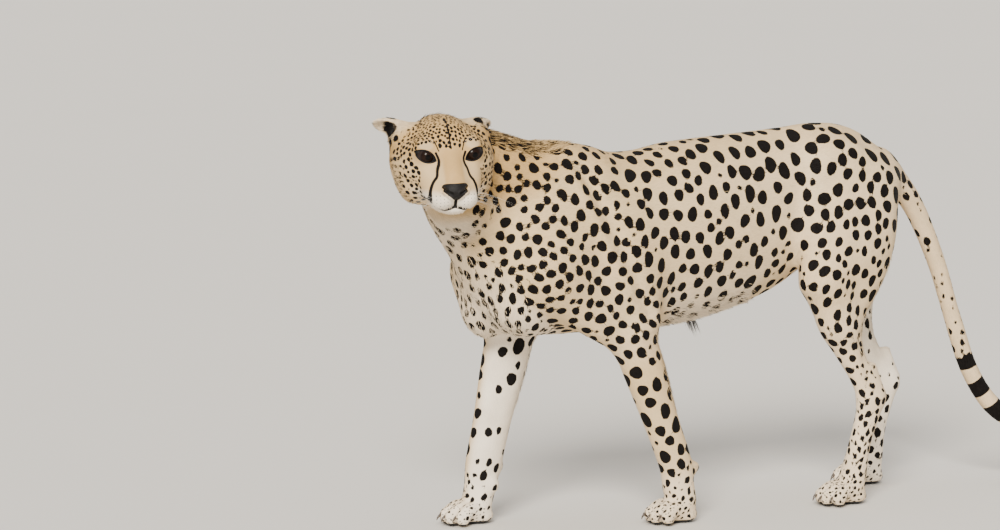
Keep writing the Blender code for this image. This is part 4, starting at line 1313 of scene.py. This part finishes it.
def markings_group():
    """The coat's ground colours and black spots, from what is painted on the points."""
    colours = [("Cream", "Color"), ("Tawny", "Color"), ("White", "Color"), ("Black", "Color")]
    nodes, given, result = new_group("Cheetah markings",
                                     [*colours, ("Tone", "Float"), ("Ragged", "Float")],
                                     [("Color", "Color"), ("Spot", "Float")])
    tone = given["Tone"]
    wander = nodes.math("MULTIPLY", nodes.math("SUBTRACT", tone, 0.5), 0.5)
    tawny = nodes.math("ADD", nodes.value_of("tawny"), wander, clamp=True)
    ground = nodes.mix(tawny, given["Cream"], given["Tawny"])
    pale = nodes.math("ADD", nodes.value_of("pale"), nodes.math("MULTIPLY", wander, 0.5), clamp=True)
    ground = nodes.mix(pale, ground, given["White"])
    own = nodes.math("MULTIPLY_ADD", nodes.value_of("tone"), 0.13, 1.0)
    light = nodes.math("MULTIPLY_ADD", nodes.math("SUBTRACT", tone, 0.5), 0.35, own)
    light = nodes.math("MULTIPLY_ADD", nodes.value_of("tip"), 0.10, light)
    shade = nodes.add("ShaderNodeCombineColor", {0: light, 1: light, 2: light})
    ground = nodes.mix(1.0, ground, shade.outputs[0], "MULTIPLY")
    place = nodes.add("ShaderNodeTexCoord").outputs["Object"]
    rough = nodes.math("MULTIPLY", nodes.math("SUBTRACT", nodes.noise(place, 420.0), 0.5),
                       given["Ragged"])
    edge = nodes.math("ADD", nodes.value_of("spot"), rough)
    spot = nodes.step(edge, -0.0005, 0.0005)
    nodes.feed(result["Color"], nodes.mix(spot, ground, given["Black"]))
    nodes.feed(result["Spot"], spot)
    return nodes.tree


def pebble_group():
    """The grained leather of nose, lips and pads."""
    nodes, given, result = new_group("Pebbled leather", [("Scale", "Float")],
                                     [("Height", "Float"), ("Tone", "Float")])
    place = nodes.add("ShaderNodeTexCoord").outputs["Object"]
    cell = nodes.add("ShaderNodeTexVoronoi", {"Vector": place, "Scale": given["Scale"]})
    nodes.feed(result["Height"], nodes.math("SUBTRACT", 1.0, cell.outputs["Distance"]))
    nodes.feed(result["Tone"], nodes.noise(place, 300.0))
    return nodes.tree


def group_of(name, make):
    return bpy.data.node_groups.get(name) or make()


def new_material(name, roughness, **sockets):
    material = bpy.data.materials.new(name)
    material.use_nodes = True
    nodes = Nodes(material.node_tree)
    shader = material.node_tree.nodes["Principled BSDF"]
    shader.inputs["Roughness"].default_value = roughness
    for socket, value in sockets.items():
        shader.inputs[socket].default_value = value
    return material, nodes, shader


def place_group(nodes, name, make, **values):
    node = nodes.add("ShaderNodeGroup", node_tree=group_of(name, make))
    for socket, value in values.items():
        nodes.feed(node.inputs[socket], value)
    return node.outputs


def coat_colour(nodes, grain, ragged):
    settings = bpy.context.scene.cheetah_coat
    colours = {n.title(): (*getattr(settings, n), 1) for n in ("cream", "tawny", "white", "black")}
    return place_group(nodes, "Cheetah markings", markings_group, **colours,
                       Tone=grain["Tone"], Ragged=ragged)


def tuft_material():
    """Dry fur on the tufts: markings, a little streak of tone, and a soft edge of light."""
    material, nodes, shader = new_material("spotted_fur", 0.80, **{"Sheen Weight": 0.04,
                                       "Sheen Roughness": 0.5, "Specular IOR Level": 0.06})
    grain = place_group(nodes, "Fur grain", fur_grain_group, Scale=700.0)
    nodes.feed(shader.inputs["Base Color"], coat_colour(nodes, grain, 0.0004)["Color"])
    return material


def skin_material():
    """The short coat close to the skin, and bare leather on nose, lids, lips and pads."""
    material, nodes, shader = new_material("spotted_skin", 0.8, **{"Specular IOR Level": 0.14})
    grain = place_group(nodes, "Fur grain", fur_grain_group, Scale=700.0)
    pebble = place_group(nodes, "Pebbled leather", pebble_group, Scale=1100.0)
    fur = coat_colour(nodes, grain, 0.0008)["Color"]
    bare = nodes.step(nodes.value_of("bare"), -0.0002, 0.0003)
    leather = (*bpy.context.scene.cheetah_coat.leather, 1)
    worn = nodes.mix(nodes.math("MULTIPLY", pebble["Tone"], 0.7), leather, (0.017, 0.015, 0.015, 1))
    nodes.feed(shader.inputs["Base Color"], nodes.mix(bare, fur, worn))
    nodes.feed(shader.inputs["Roughness"], nodes.math("MULTIPLY_ADD", bare, -0.34, 0.8))
    raised = nodes.add("ShaderNodeMix", {0: bare, 2: grain["Height"], 3: pebble["Height"]})
    bump = nodes.add("ShaderNodeBump", {"Height": raised.outputs[0], "Strength": 0.45,
                                        "Distance": 0.0006})
    nodes.feed(shader.inputs["Normal"], bump.outputs[0])
    return material


def horn_material():
    """Worn dark horn of the claws."""
    material, nodes, shader = new_material("claw_horn", 0.35, **{"Coat Weight": 0.2})
    grain = place_group(nodes, "Fur grain", fur_grain_group, Scale=1500.0)
    nodes.feed(shader.inputs["Base Color"],
               nodes.mix(grain["Height"], (0.020, 0.015, 0.012, 1), (0.12, 0.085, 0.060, 1)))
    bump = nodes.add("ShaderNodeBump", {"Height": grain["Height"], "Strength": 0.3,
                                        "Distance": 0.0003})
    nodes.feed(shader.inputs["Normal"], bump.outputs[0])
    return material


def whisker_material():
    material, nodes, shader = new_material("whisker_hair", 0.4)
    grain = place_group(nodes, "Fur grain", fur_grain_group, Scale=900.0)
    nodes.feed(shader.inputs["Base Color"],
               nodes.mix(grain["Tone"], (0.70, 0.66, 0.60, 1), (0.88, 0.86, 0.82, 1)))
    return material


def eye_material():
    """A dark amber iris with fine rays, darker towards its rim, and a black pupil."""
    settings = bpy.context.scene.cheetah_eye
    material, nodes, shader = new_material("amber_iris", 0.30, **{"Coat Weight": 0.2,
                                       "Coat Roughness": 0.03,
                                       "Coat IOR": 1.4,
                                       "Specular IOR Level": 0.05})
    out = nodes.value_of("from_axis")
    ray = nodes.add("ShaderNodeCombineXYZ", {0: nodes.value_of("ray_x"), 1: nodes.value_of("ray_y"),
                                             2: nodes.math("MULTIPLY", out, 0.15)})
    rays = nodes.noise(ray.outputs[0], 9.0, 4.0)
    iris, rim = settings.iris_size, settings.iris_size * 0.86
    colour = nodes.mix(rays, (*settings.iris_dark, 1), (*settings.iris_light, 1))
    collar = nodes.step(out, settings.pupil_size * 1.9, settings.pupil_size)
    colour = nodes.mix(nodes.math("MULTIPLY", collar, 0.45), colour, (*settings.iris_light, 1))
    colour = nodes.mix(nodes.step(out, rim, iris), colour, (0.008, 0.006, 0.006, 1))
    white = nodes.mix(nodes.noise(ray.outputs[0], 3.0), (0.014, 0.009, 0.008, 1),
                      (0.030, 0.020, 0.017, 1))
    colour = nodes.mix(nodes.step(out, iris * 1.02, iris * 1.10), colour, white)
    pupil = nodes.step(out, settings.pupil_size * 1.04, settings.pupil_size * 0.96)
    nodes.feed(shader.inputs["Base Color"], nodes.mix(pupil, colour, (0.002, 0.002, 0.002, 1)))
    return material


# ---- tufts --------------------------------------------------------------------------------
def paint_points(mesh, values):
    for key, value in values.items():
        layer = mesh.attributes.new(key, "FLOAT", "POINT")
        layer.data.foreach_set("value", value.astype(np.float32))


def mesh_of(name, points, faces, corner_uv=None, point_normals=None, **values):
    """A triangle mesh from arrays, with values on its points and the coat's own UV map."""
    mesh = bpy.data.meshes.new(name)
    mesh.vertices.add(len(points))
    mesh.vertices.foreach_set("co", points.astype(np.float32).ravel())
    mesh.loops.add(faces.size)
    mesh.loops.foreach_set("vertex_index", faces.astype(np.int32).ravel())
    mesh.polygons.add(len(faces))
    mesh.polygons.foreach_set("loop_start", np.arange(0, faces.size, 3, dtype=np.int32))
    mesh.polygons.foreach_set("loop_total", np.full(len(faces), 3, np.int32))
    mesh.update(calc_edges=True)
    mesh.polygons.foreach_set("use_smooth", np.ones(len(faces), bool))
    paint_points(mesh, values)
    if corner_uv is not None:
        layer = mesh.uv_layers.new(name=BAKE_MAP)
        layer.data.foreach_set("uv", corner_uv.astype(np.float32).ravel())
    if point_normals is not None:
        mesh.normals_split_custom_set_from_vertices(point_normals)
    return new_object(name, mesh)


def finish_piece(obj, material, slot, *replaced, shift=None):
    """Gives a piece its finish and its place in the frame; shift moves it there first."""
    if shift is not None:
        obj.data.transform(Matrix.Translation(shift))
    obj.data.materials.clear()
    obj.data.materials.append(material)
    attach(obj, "root")
    if replaced:
        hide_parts(*replaced)
    return obj


def unit(vectors):
    return vectors / np.maximum(np.linalg.norm(vectors, axis=1), 1e-9)[:, None]


def lay_tufts(skin, name, weights, count, length, width, lift, random, sections=1, sway=0.10,
              droop=0.0, fade=0.0, black=None):
    """One piece of coat: flat, tapering tufts, rooted in the skin and lying along the body.

    length, width and lift (the slope away from the skin) are numbers, or one for each point.
    fade is the share of tufts that leave out the spots, black the share that are all black.
    """
    def of_roots(value):
        if np.ndim(value) == 0:
            return np.full(count, float(value))
        return skin.at(value, chosen, shares)

    chosen, shares = skin.pick(weights * skin.area, count, random)
    roots = skin.at(skin.points, chosen, shares)
    up = unit(skin.at(skin.normals, chosen, shares))
    lie = skin.at(skin.lie, chosen, shares)
    lie = unit(lie - up * (lie * up).sum(1)[:, None])
    side = np.cross(up, lie)
    lie = unit(lie + side * random.normal(0, sway, count)[:, None])
    side = np.cross(up, lie)
    long = of_roots(length) * np.exp(random.normal(0, 0.16, count))
    wide = of_roots(width) * np.exp(random.normal(0, 0.15, count)) / 2
    slope = of_roots(lift) * random.uniform(0.45, 1.5, count)
    high = 0.30 * wide
    rings = []
    roots = roots - up * (0.0004 + high)[:, None] * 0.5
    for i in range(sections):
        share = i / sections
        centre = roots + (lie * (long * share)[:, None] + up * (long * slope * share)[:, None])
        taper = 1 - 0.35 * share
        rings += [centre + side * (wide * taper)[:, None], centre - side * (wide * taper)[:, None],
                  centre + up * (2 * high * taper)[:, None]]
        if i and droop:
            for ring in rings[-3:]:
                ring[:, 2] -= droop * long * share**2
    tip = roots + lie * long[:, None] + up * (long * slope)[:, None]
    tip[:, 2] -= droop * long
    at_tip = dict(zip(PAINTED, skin.read(tip, *PAINTED)))
    clear = at_tip["bare"] < -0.0002
    floor = SOLE_LEVEL + 0.0003
    points = np.stack([*rings, tip], 1)
    points[:, :, 2] = np.maximum(points[:, :, 2], floor)
    size = points.shape[1]
    pattern = []
    for i in range(sections - 1):
        a, b = 3 * i, 3 * i + 3
        for p, q in ((0, 2), (2, 1), (1, 0)):
            pattern += [(a + p, a + q, b + q), (a + p, b + q, b + p)]
    last = 3 * (sections - 1)
    pattern += [(last, last + 2, size - 1), (last + 2, last + 1, size - 1), (last + 1, last, size - 1)]
    pattern = np.array(pattern)
    points, up, side, lie, chosen, shares, roots, tip = (
        a[clear] for a in (points, up, side, lie, chosen, shares, roots, tip))
    at_tip = {key: value[clear] for key, value in at_tip.items()}
    points, count = points.reshape(-1, 3), clear.sum()
    faces = (np.arange(count)[:, None, None] * size + pattern[None]).reshape(-1, 3)
    bend = np.array([0.55, -0.55, 0.0] * sections + [0.0])
    normals = up[:, None, :] + bend[None, :, None] * side[:, None, :]
    normals += 0.15 * lie[:, None, :]
    normals = unit(normals.reshape(-1, 3))
    middle = skin.map_at(chosen, shares)
    reach = PATCH / 2
    shape = np.array([(-reach, -reach), (reach, -reach), (0, -reach)] * sections + [(0, reach)])
    for i in range(sections):
        shape[3 * i : 3 * i + 3, 1] += PATCH * i / sections
    corner_uv = (middle[:, None, :] + shape[None])[:, pattern.ravel()].reshape(-1, 2)
    along = np.array([i / sections for i in range(sections) for _ in range(3)] + [1.0])
    values = {"tone": np.repeat(random.uniform(-1, 1, count), size), "tip": np.tile(along, count)}
    draw = random.random(count)
    plain = draw < fade
    dark = draw > 1 - (0 if black is None else skin.at(black, chosen, shares))
    for key in PAINTED[:-1]:
        start = skin.at(skin.values[key], chosen, shares)
        end = at_tip[key]
        if key == "spot":
            far = skin.at(skin.far, chosen, shares) > 0.5
            for ends, places in ((start, roots[far]), (end, tip[far])):
                ends[far] = inset_among(skin.spots, places, up[far], tree_of(places))
            start, end = (np.where(dark, FULL_MARK, np.where(plain, NO_MARK, ends))
                          for ends in (start, end))
        values[key] = (start[:, None] + (end - start)[:, None] * along).ravel()
    return mesh_of(name, points, faces, corner_uv, normals, **values)


def coat_plan(skin, settings):
    """Length, width, lift and density of the short tufts at each point of the skin."""
    z = skin.points[:, 2]
    length = np.full(len(z), settings.tuft_length)
    width = np.full(len(z), settings.tuft_width)
    lift = np.full(len(z), COAT_LIFT)
    thick = np.ones(len(z))
    length *= 1 + 0.05 * skin.is_part("neck")
    legs = skin.is_part("foreleg") | skin.is_part("hindleg")
    low = ramp(z, 0.36, 0.20) * legs
    length *= 1 - 0.30 * low
    width *= 1 - 0.20 * low
    paw = ramp(z, 0.09, 0.04) * legs
    length *= 1 - 0.45 * paw
    width *= 1 - 0.30 * paw
    thick *= 1 + 1.6 * paw
    head = skin.is_part("head") | skin.is_part("ear")
    face = ramp(skin.local[:, 1], -0.03, 0.06)
    length[head] = (0.0052 - 0.0024 * face)[head]
    width[head] = (0.00100 - 0.00042 * face)[head]
    thick[head] = (1 + 1.5 * face)[head]
    thick *= ramp(skin.bare, -0.0002, -0.0010)
    sunk = np.zeros(len(z))
    for side in (1, -1):
        away = np.linalg.norm(skin.points - skin.head.eye(side), axis=1)
        sunk[away < EYE_RADIUS * HEAD_SCALE + 0.0008] = 1
    for cup in skin.flesh.cups():
        sunk[cup.distance(skin.points) < 0.0025] = 0.85
    thick *= 1 - sunk
    columns = spread(skin.edges, np.column_stack([length, width]), 6)
    return columns[:, 0].copy(), columns[:, 1].copy(), lift, thick


# ---- what a user can change ---------------------------------------------------------------
def colour_property(name, description, default):
    return FloatVectorProperty(name=name, description=description, default=default, min=0, max=1,
                               size=3, subtype="COLOR")


def length_property(name, description, default):
    return FloatProperty(name=name, description=description, default=default, min=0,
                         subtype="DISTANCE", unit="LENGTH", precision=4)


class CoatSettings(bpy.types.PropertyGroup):
    cream: colour_property("Flank", "Ground colour of the flanks", (0.85, 0.65, 0.39))
    tawny: colour_property("Neck", "Ground colour of neck, shoulders and crown", (0.52, 0.315, 0.11))
    white: colour_property("White", "Colour of belly, chin and inner legs", (0.92, 0.81, 0.66))
    black: colour_property("Spots", "Colour of spots, tear lines and rings", (0.006, 0.0045, 0.004))
    leather: colour_property("Bare skin", "Colour of nose, lips and pads", (0.009, 0.008, 0.008))
    spot_scale: FloatProperty(name="Spot size", description="Size of the spots against the usual",
                              default=1.0, min=0.3, max=1.6)
    tuft_length: length_property("Tuft length", "Length of a tuft on the flank", 0.0068)
    tuft_width: length_property("Tuft width", "Width of a tuft on the flank", 0.0014)
    seed: IntProperty(name="Seed", description="Start of the random placing", default=7, min=0)


class EyeSettings(bpy.types.PropertyGroup):
    iris_light: colour_property("Iris", "Light rays of the iris", (0.016, 0.0075, 0.004))
    iris_dark: colour_property("Iris, dark", "Dark rays of the iris", (0.008, 0.004, 0.003))
    iris_size: FloatProperty(name="Iris size", description="Its half angle seen from the centre",
                             default=math.radians(41), subtype="ANGLE", unit="ROTATION")
    pupil_size: FloatProperty(name="Pupil size", description="Its half angle from the centre",
                              default=math.radians(15), subtype="ANGLE", unit="ROTATION")


class StageSettings(bpy.types.PropertyGroup):
    floor: colour_property("Floor", "Colour of the plain floor", (0.74, 0.71, 0.66))
    key: FloatProperty(name="Key light", description="Strength of the main soft light",
                       default=5.6, min=0)
    world: FloatProperty(name="Surround", description="Strength of the even light", default=0.53,
                         min=0)


# ---- operators ----------------------------------------------------------------------------
made = {}  # the skin, once it is wrapped, for the operators that follow


class CHEETAH_OT_skin(bpy.types.Operator):
    """Wrap one skin over the whole animal and paint its markings"""

    bl_idname = "cheetah.skin"
    bl_label = "Wrap skin"

    def execute(self, context):
        settings = context.scene.cheetah_coat
        flesh, head = whole_cheetah()
        obj, normals = wrap(flesh, head)
        skin = made["skin"] = Skin(obj, normals, head)
        skin.flesh = flesh
        paint_ground(skin)
        plan_head_spots(skin)
        random = np.random.default_rng(settings.seed)
        spot = paint_spots(skin, random, settings.spot_scale)
        spot = ring_the_tail(skin, spot)
        spot, bare = paint_face(skin, spot)
        leg = skin.is_part("foreleg") | skin.is_part("hindleg") | skin.is_part("tail")
        skin.bare = bare
        skin.add_values(spot=spot, tawny=skin.tawny, pale=skin.pale, leg=leg.astype(float),
                        head=skin.is_part("head").astype(float), bare=bare)
        paint_points(obj.data, skin.values)
        obj.data.shade_smooth()
        skin.unwrap()
        low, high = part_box("eye_left")
        skin.shift = np.array((low + high) / 2) - head.eye(-1)
        finish_piece(obj, skin_material(), "spotted_coat", *FLESH_NODES, shift=skin.shift)
        return {"FINISHED"}


class CHEETAH_OT_coat(bpy.types.Operator):
    """Lay short tufts over every part of the skin"""

    bl_idname = "cheetah.coat"
    bl_label = "Lay coat"

    def execute(self, context):
        settings, skin = context.scene.cheetah_coat, made["skin"]
        random = np.random.default_rng(settings.seed + 1)
        fur = tuft_material()
        length, width, lift, thick = coat_plan(skin, settings)
        sides = {"left": skin.points[:, 1] < 0, "right": skin.points[:, 1] >= 0}
        body = skin.is_part("trunk") | skin.is_part("breast")
        regions = {
            "coat_head": (skin.is_part("head") | skin.is_part("ear"), 64000),
            "coat_neck": (skin.is_part("neck"), 44000),
            "coat_trunk_left": (body & sides["left"], 66000),
            "coat_trunk_right": (body & sides["right"], 66000),
            "coat_tail": (skin.is_part("tail"), 22000),
        }
        for side in sides:
            regions[f"coat_foreleg_{side}"] = (skin.is_part(f"foreleg_{side}"), 36000)
            regions[f"coat_hindleg_{side}"] = (skin.is_part(f"hindleg_{side}"), 36000)
        for name, (mask, count) in regions.items():
            weights = (mask * thick)[skin.triangles].mean(1)
            piece = lay_tufts(skin, name, weights, count, length, width, lift, random)
            finish_piece(piece, fur, "spotted_coat", shift=skin.shift)
        return {"FINISHED"}


class CHEETAH_OT_long_hair(bpy.types.Operator):
    """Add the longer hair of nape, belly, chest, ears, legs and tail tip"""

    bl_idname = "cheetah.long_hair"
    bl_label = "Add long hair"

    def execute(self, context):
        settings, skin = context.scene.cheetah_coat, made["skin"]
        random = np.random.default_rng(settings.seed + 2)
        fur = bpy.data.materials["spotted_fur"]
        x, y, z = skin.points.T
        nx, nz = skin.normals[:, 0], skin.normals[:, 2]
        lx, ly, lz = skin.local.T
        furred = skin.bare < -0.0006
        neck, trunk = skin.is_part("neck"), skin.is_part("trunk") | skin.is_part("breast")
        crest = ((neck | trunk) * ramp(nz, 0.45, 0.85) * ramp(x, 0.02, -0.08)
                 * ramp(np.abs(y), 0.045, 0.010))
        nape = 0.60 * ramp(x, -0.055, -0.105)
        belly = trunk * ramp(nz, -0.45, -0.85) * ramp(x, 0.02, 0.12)
        chest = ((trunk | neck) * ramp(nz, 0.0, -0.5) * ramp(x, -0.10, -0.16)) * (z < 0.60)
        elbows = (skin.is_part("foreleg") * ramp(nx, 0.45, 0.85) * ramp(z, 0.20, 0.26)
                  * ramp(z, 0.40, 0.34))
        hams = skin.is_part("hindleg") * ramp(nx, 0.45, 0.85) * ramp(z, 0.24, 0.32)
        cheeks = (skin.is_part("head") * ramp(ly, 0.02, -0.02) * ramp(np.abs(lx), 0.045, 0.06)
                  * ramp(lz, 0.02, -0.02))
        chin = skin.is_part("head") * ramp(nz, -0.3, -0.8) * ramp(ly, 0.02, 0.05)
        end = skin.is_part("tail") * ramp(x, 0.98, 1.06)
        ears = skin.is_part("ear")
        sheath = trunk * ramp(nz, -0.5, -0.8) * ramp(np.hypot(x - BELLY_TUFT, y), 0.009, 0.004)
        for name, mask, count, length, lift, droop, fade, black in (
                ("crest", crest, 5200, 0.017, 0.22, 0.05, 0.4, nape),
                ("belly_fringe", belly, 6000, 0.014, 0.15, 0.20, 0.45, None),
                ("chest_hair", chest, 5200, 0.0085, 0.12, 0.15, 0.32, None),
                ("elbow_hair", elbows, 1600, 0.013, 0.20, 0.1, 0.4, None),
                ("ham_hair", hams, 2600, 0.013, 0.16, 0.1, 0.4, None),
                ("cheek_hair", cheeks, 3200, 0.009, 0.12, 0.1, 0.2, None),
                ("chin_hair", chin, 1500, 0.0055, 0.12, 0.1, 0.0, None),
                ("tail_tuft", end, 3600, 0.026, 0.16, 0.1, 0.0, None),
                ("ear_hair", ears, 3400, 0.008, 0.18, 0.0, 0.0, None),
                ("belly_tuft", sheath, 70, 0.018, 0.15, 1.5, 0.0, np.ones(len(x)))):
            weights = (mask * furred)[skin.triangles].mean(1)
            piece = lay_tufts(skin, name, weights, count, length, HAIR_WIDTH, lift, random,
                              sections=2, sway=HAIR_SWAY, droop=droop, fade=fade, black=black)
            finish_piece(piece, fur, "spotted_coat", shift=skin.shift)
        return {"FINISHED"}


class CHEETAH_OT_eyes(bpy.types.Operator):
    """Set the two eyes, with iris, pupil and a wet front"""

    bl_idname = "cheetah.eyes"
    bl_label = "Set eyes"

    def execute(self, context):
        skin, iris = made["skin"], eye_material()
        settings = context.scene.cheetah_eye
        for side, node in zip((-1, 1), EYES):
            centre = skin.head.eye(side) + skin.shift
            axis = Vector((side * 0.06 - 0.10, 1.0, -0.02)).normalized()
            eye = make_eye(f"{node}_ball", settings)
            turn = Vector((0, 0, 1)).rotation_difference(axis).to_matrix()
            whole = Matrix(skin.head.axes.T.tolist()) @ turn
            eye.data.transform(Matrix.Translation(centre) @ whole.to_4x4())
            finish_piece(eye, iris, "amber_eye", node)
        return {"FINISHED"}


def make_eye(name, settings):
    """An eyeball that looks along +Z, with a raised clear front, and its angles for the iris."""
    radius = EYE_RADIUS * HEAD_SCALE
    bm = bmesh.new()
    bmesh.ops.create_uvsphere(bm, u_segments=64, v_segments=48, radius=radius)
    mesh = bpy.data.meshes.new(name)
    bm.to_mesh(mesh)
    bm.free()
    points = points_of(mesh)
    angle = np.arccos(np.clip(points[:, 2] / radius, -1, 1))
    bulge = CORNEA_RISE * np.clip(1 - (angle / settings.iris_size) ** 2, 0, 1)
    around = unit(points[:, :2] + 1e-9)
    paint_points(mesh, {"from_axis": angle, "ray_x": around[:, 0], "ray_y": around[:, 1]})
    set_points(mesh, points * (1 + bulge / radius)[:, None])
    mesh.shade_smooth()
    return new_object(name, mesh)


def tapered_tube(line, radii, sides):
    """Points and triangles of a round tube along a line; its last ring closes to a tip."""
    line = np.asarray(line, float)
    along = unit(np.gradient(line, axis=0))
    side = unit(np.cross(along, (0.13, 0.31, 0.94)))
    up = np.cross(side, along)
    angles = np.arange(sides) / sides * math.tau
    points = [p + r * (math.cos(a) * s + math.sin(a) * u)
              for p, r, s, u in zip(line, radii, side, up) for a in angles]
    faces = []
    for i in range(len(line) - 1):
        for j in range(sides):
            a, b = i * sides + j, i * sides + (j + 1) % sides
            faces += [(a, a + sides, b), (b, a + sides, b + sides)]
    for ring, step in ((0, 1), ((len(line) - 1) * sides, -1)):
        for j in range(1, sides - 1):
            faces.append((ring, ring + j, ring + j + 1)[::step])
    return np.array(points), np.array(faces)


def joined_tubes(name, tubes):
    points, faces, start = [], [], 0
    for own_points, own_faces in tubes:
        points.append(own_points)
        faces.append(own_faces + start)
        start += len(own_points)
    return mesh_of(name, np.vstack(points), np.vstack(faces))


class CHEETAH_OT_claws(bpy.types.Operator):
    """Add the blunt claws of the four paws"""

    bl_idname = "cheetah.claws"
    bl_label = "Add claws"

    def execute(self, context):
        horn = horn_material()
        for group, legs in (("fore", FORELEGS), ("hind", HINDLEGS)):
            for name, leg in legs.items():
                x, y = leg["knuckle"][0], leg["side"] * leg["out"]
                tubes = []
                for across, reach in TOES:
                    lateral = y + across * PAW_WIDTH * 1.10
                    tip = x - PAW_LENGTH * reach
                    start = np.array((tip + 0.0075, lateral, 0.0215))
                    bend = np.array((tip - 0.0045, lateral + across * 0.002, 0.0195))
                    end = np.array((tip - 0.0058, lateral + across * 0.004, 0.0105))
                    share = np.linspace(0, 1, TUBE_STEPS)[:, None]
                    line = (1 - share) ** 2 * start + 2 * share * (1 - share) * bend + share**2 * end
                    radii = CLAW_RADIUS * (1 - 0.72 * share[:, 0] ** 1.6)
                    tubes.append(tapered_tube(line, radii, 10))
                piece = joined_tubes(f"claws_{group}paw_{name}", tubes)
                finish_piece(piece, horn, "spotted_coat", shift=made["skin"].shift)
        return {"FINISHED"}


class CHEETAH_OT_whiskers(bpy.types.Operator):
    """Add whiskers on both cheeks and above the eyes"""

    bl_idname = "cheetah.whiskers"
    bl_label = "Add whiskers"

    def execute(self, context):
        skin = made["skin"]
        random = np.random.default_rng(context.scene.cheetah_coat.seed + 3)
        hair = whisker_material()
        for side, name in ((-1, "left"), (1, "right")):
            starts = [(0.0175 + 0.0062 * step, 0.0905 - 0.0058 * step, -0.0325 - 0.0058 * row, 0.062)
                      for row in range(3) for step in range(4)]
            starts += [(0.026 + 0.004 * step, 0.050 - 0.003 * step, 0.0375, 0.030) for step in range(3)]
            tubes = []
            for x, y, z, long in starts:
                long *= random.uniform(0.7, 1.15)
                aim = np.array((1.0, 0.10 + random.normal(0, 0.10), random.normal(-0.10, 0.10)))
                if z > 0:
                    aim = np.array((0.35, 0.45, 0.75 + random.normal(0, 0.06)))
                aim /= np.linalg.norm(aim)
                root = np.array((x - 0.004, y - 0.003, z))
                share = np.linspace(0, 1, TUBE_STEPS)[:, None]
                line = root + aim * long * share + np.array((0, -0.35, -0.30)) * long * share**2
                line[:, 0] *= side
                placed = np.array([skin.head.place(*p) for p in line])
                tubes.append(tapered_tube(placed, WHISKER_RADIUS * (1 - 0.85 * share[:, 0]), 4))
            piece = joined_tubes(f"whiskers_{name}", tubes)
            finish_piece(piece, hair, "spotted_coat", shift=skin.shift)
        return {"FINISHED"}


class CHEETAH_OT_stage(bpy.types.Operator):
    """Set the plain floor, the soft lights and the camera"""

    bl_idname = "cheetah.stage"
    bl_label = "Set stage"

    def execute(self, context):
        settings, scene = context.scene.cheetah_stage, context.scene
        shift = Vector(made["skin"].shift)
        bpy.ops.mesh.primitive_plane_add(size=FLOOR_SIZE, location=(0, 0, SOLE_LEVEL))
        floor = context.active_object
        floor.name = "floor"
        paper, nodes, shader = new_material("studio_floor", 0.9, **{"Specular IOR Level": 0.1})
        cloud = nodes.noise(nodes.add("ShaderNodeTexCoord").outputs["Object"], 0.6)
        tone = [c * 0.97 for c in settings.floor]
        nodes.feed(shader.inputs["Base Color"], nodes.mix(cloud, (*tone, 1), (*settings.floor, 1)))
        floor.data.materials.append(paper)
        world = bpy.data.worlds.new("studio")
        world.use_nodes = True
        scene.world = world
        nodes = Nodes(world.node_tree)
        ground = world.node_tree.nodes["Background"]
        ground.inputs["Color"].default_value = (0.95, 0.93, 0.90, 1)
        seen = nodes.add("ShaderNodeLightPath").outputs["Is Camera Ray"]
        backdrop = nodes.math("MULTIPLY_ADD", seen, BACKDROP - settings.world, settings.world)
        nodes.feed(ground.inputs["Strength"], backdrop)
        for name, place, width, share, colour in LIGHTS:
            light = bpy.data.lights.new(name, "SUN")
            light.angle, light.color = width, colour
            light.energy = settings.key * share
            lamp = new_object(name, light)
            lamp.location = Vector(place) + shift
            lamp.rotation_mode = "QUATERNION"
            lamp.rotation_quaternion = (-Vector(place)).to_track_quat("-Z", "Y")
        camera = new_object("camera", bpy.data.cameras.new("camera"))
        camera.data.lens, camera.data.sensor_width = LENS, SENSOR
        camera.data.clip_end = 100
        camera.location = Vector(CAMERA_PLACE) + shift
        camera.rotation_mode = "QUATERNION"
        aim = Vector(CAMERA_AIM) - Vector(CAMERA_PLACE)
        camera.rotation_quaternion = aim.to_track_quat("-Z", "Y")
        scene.camera = camera
        return {"FINISHED"}


class CHEETAH_PT_panel(bpy.types.Panel):
    """The cheetah's pieces and settings"""

    bl_idname = "CHEETAH_PT_panel"
    bl_label = "Cheetah"
    bl_space_type = "VIEW_3D"
    bl_region_type = "UI"
    bl_category = "Cheetah"

    def draw(self, context):
        for operator in STEPS:
            self.layout.operator(operator.bl_idname)
        for name, group in SETTINGS.items():
            box = self.layout.box()
            for key in group.__annotations__:
                box.prop(getattr(context.scene, name), key)


STEPS = (CHEETAH_OT_skin, CHEETAH_OT_coat, CHEETAH_OT_long_hair, CHEETAH_OT_eyes, CHEETAH_OT_claws,
         CHEETAH_OT_whiskers, CHEETAH_OT_stage)
SETTINGS = {"cheetah_coat": CoatSettings, "cheetah_eye": EyeSettings, "cheetah_stage": StageSettings}


def register():
    for cls in (*SETTINGS.values(), *STEPS, CHEETAH_PT_panel):
        bpy.utils.register_class(cls)
    for name, group in SETTINGS.items():
        setattr(bpy.types.Scene, name, PointerProperty(type=group))


def unregister():
    for name in SETTINGS:
        delattr(bpy.types.Scene, name)
    for cls in reversed((*SETTINGS.values(), *STEPS, CHEETAH_PT_panel)):
        bpy.utils.unregister_class(cls)


def main():
    register()
    for step in (bpy.ops.cheetah.skin, bpy.ops.cheetah.coat, bpy.ops.cheetah.long_hair,
                 bpy.ops.cheetah.eyes, bpy.ops.cheetah.claws, bpy.ops.cheetah.whiskers,
                 bpy.ops.cheetah.stage):
        step()


if __name__ == "__main__":
    main()
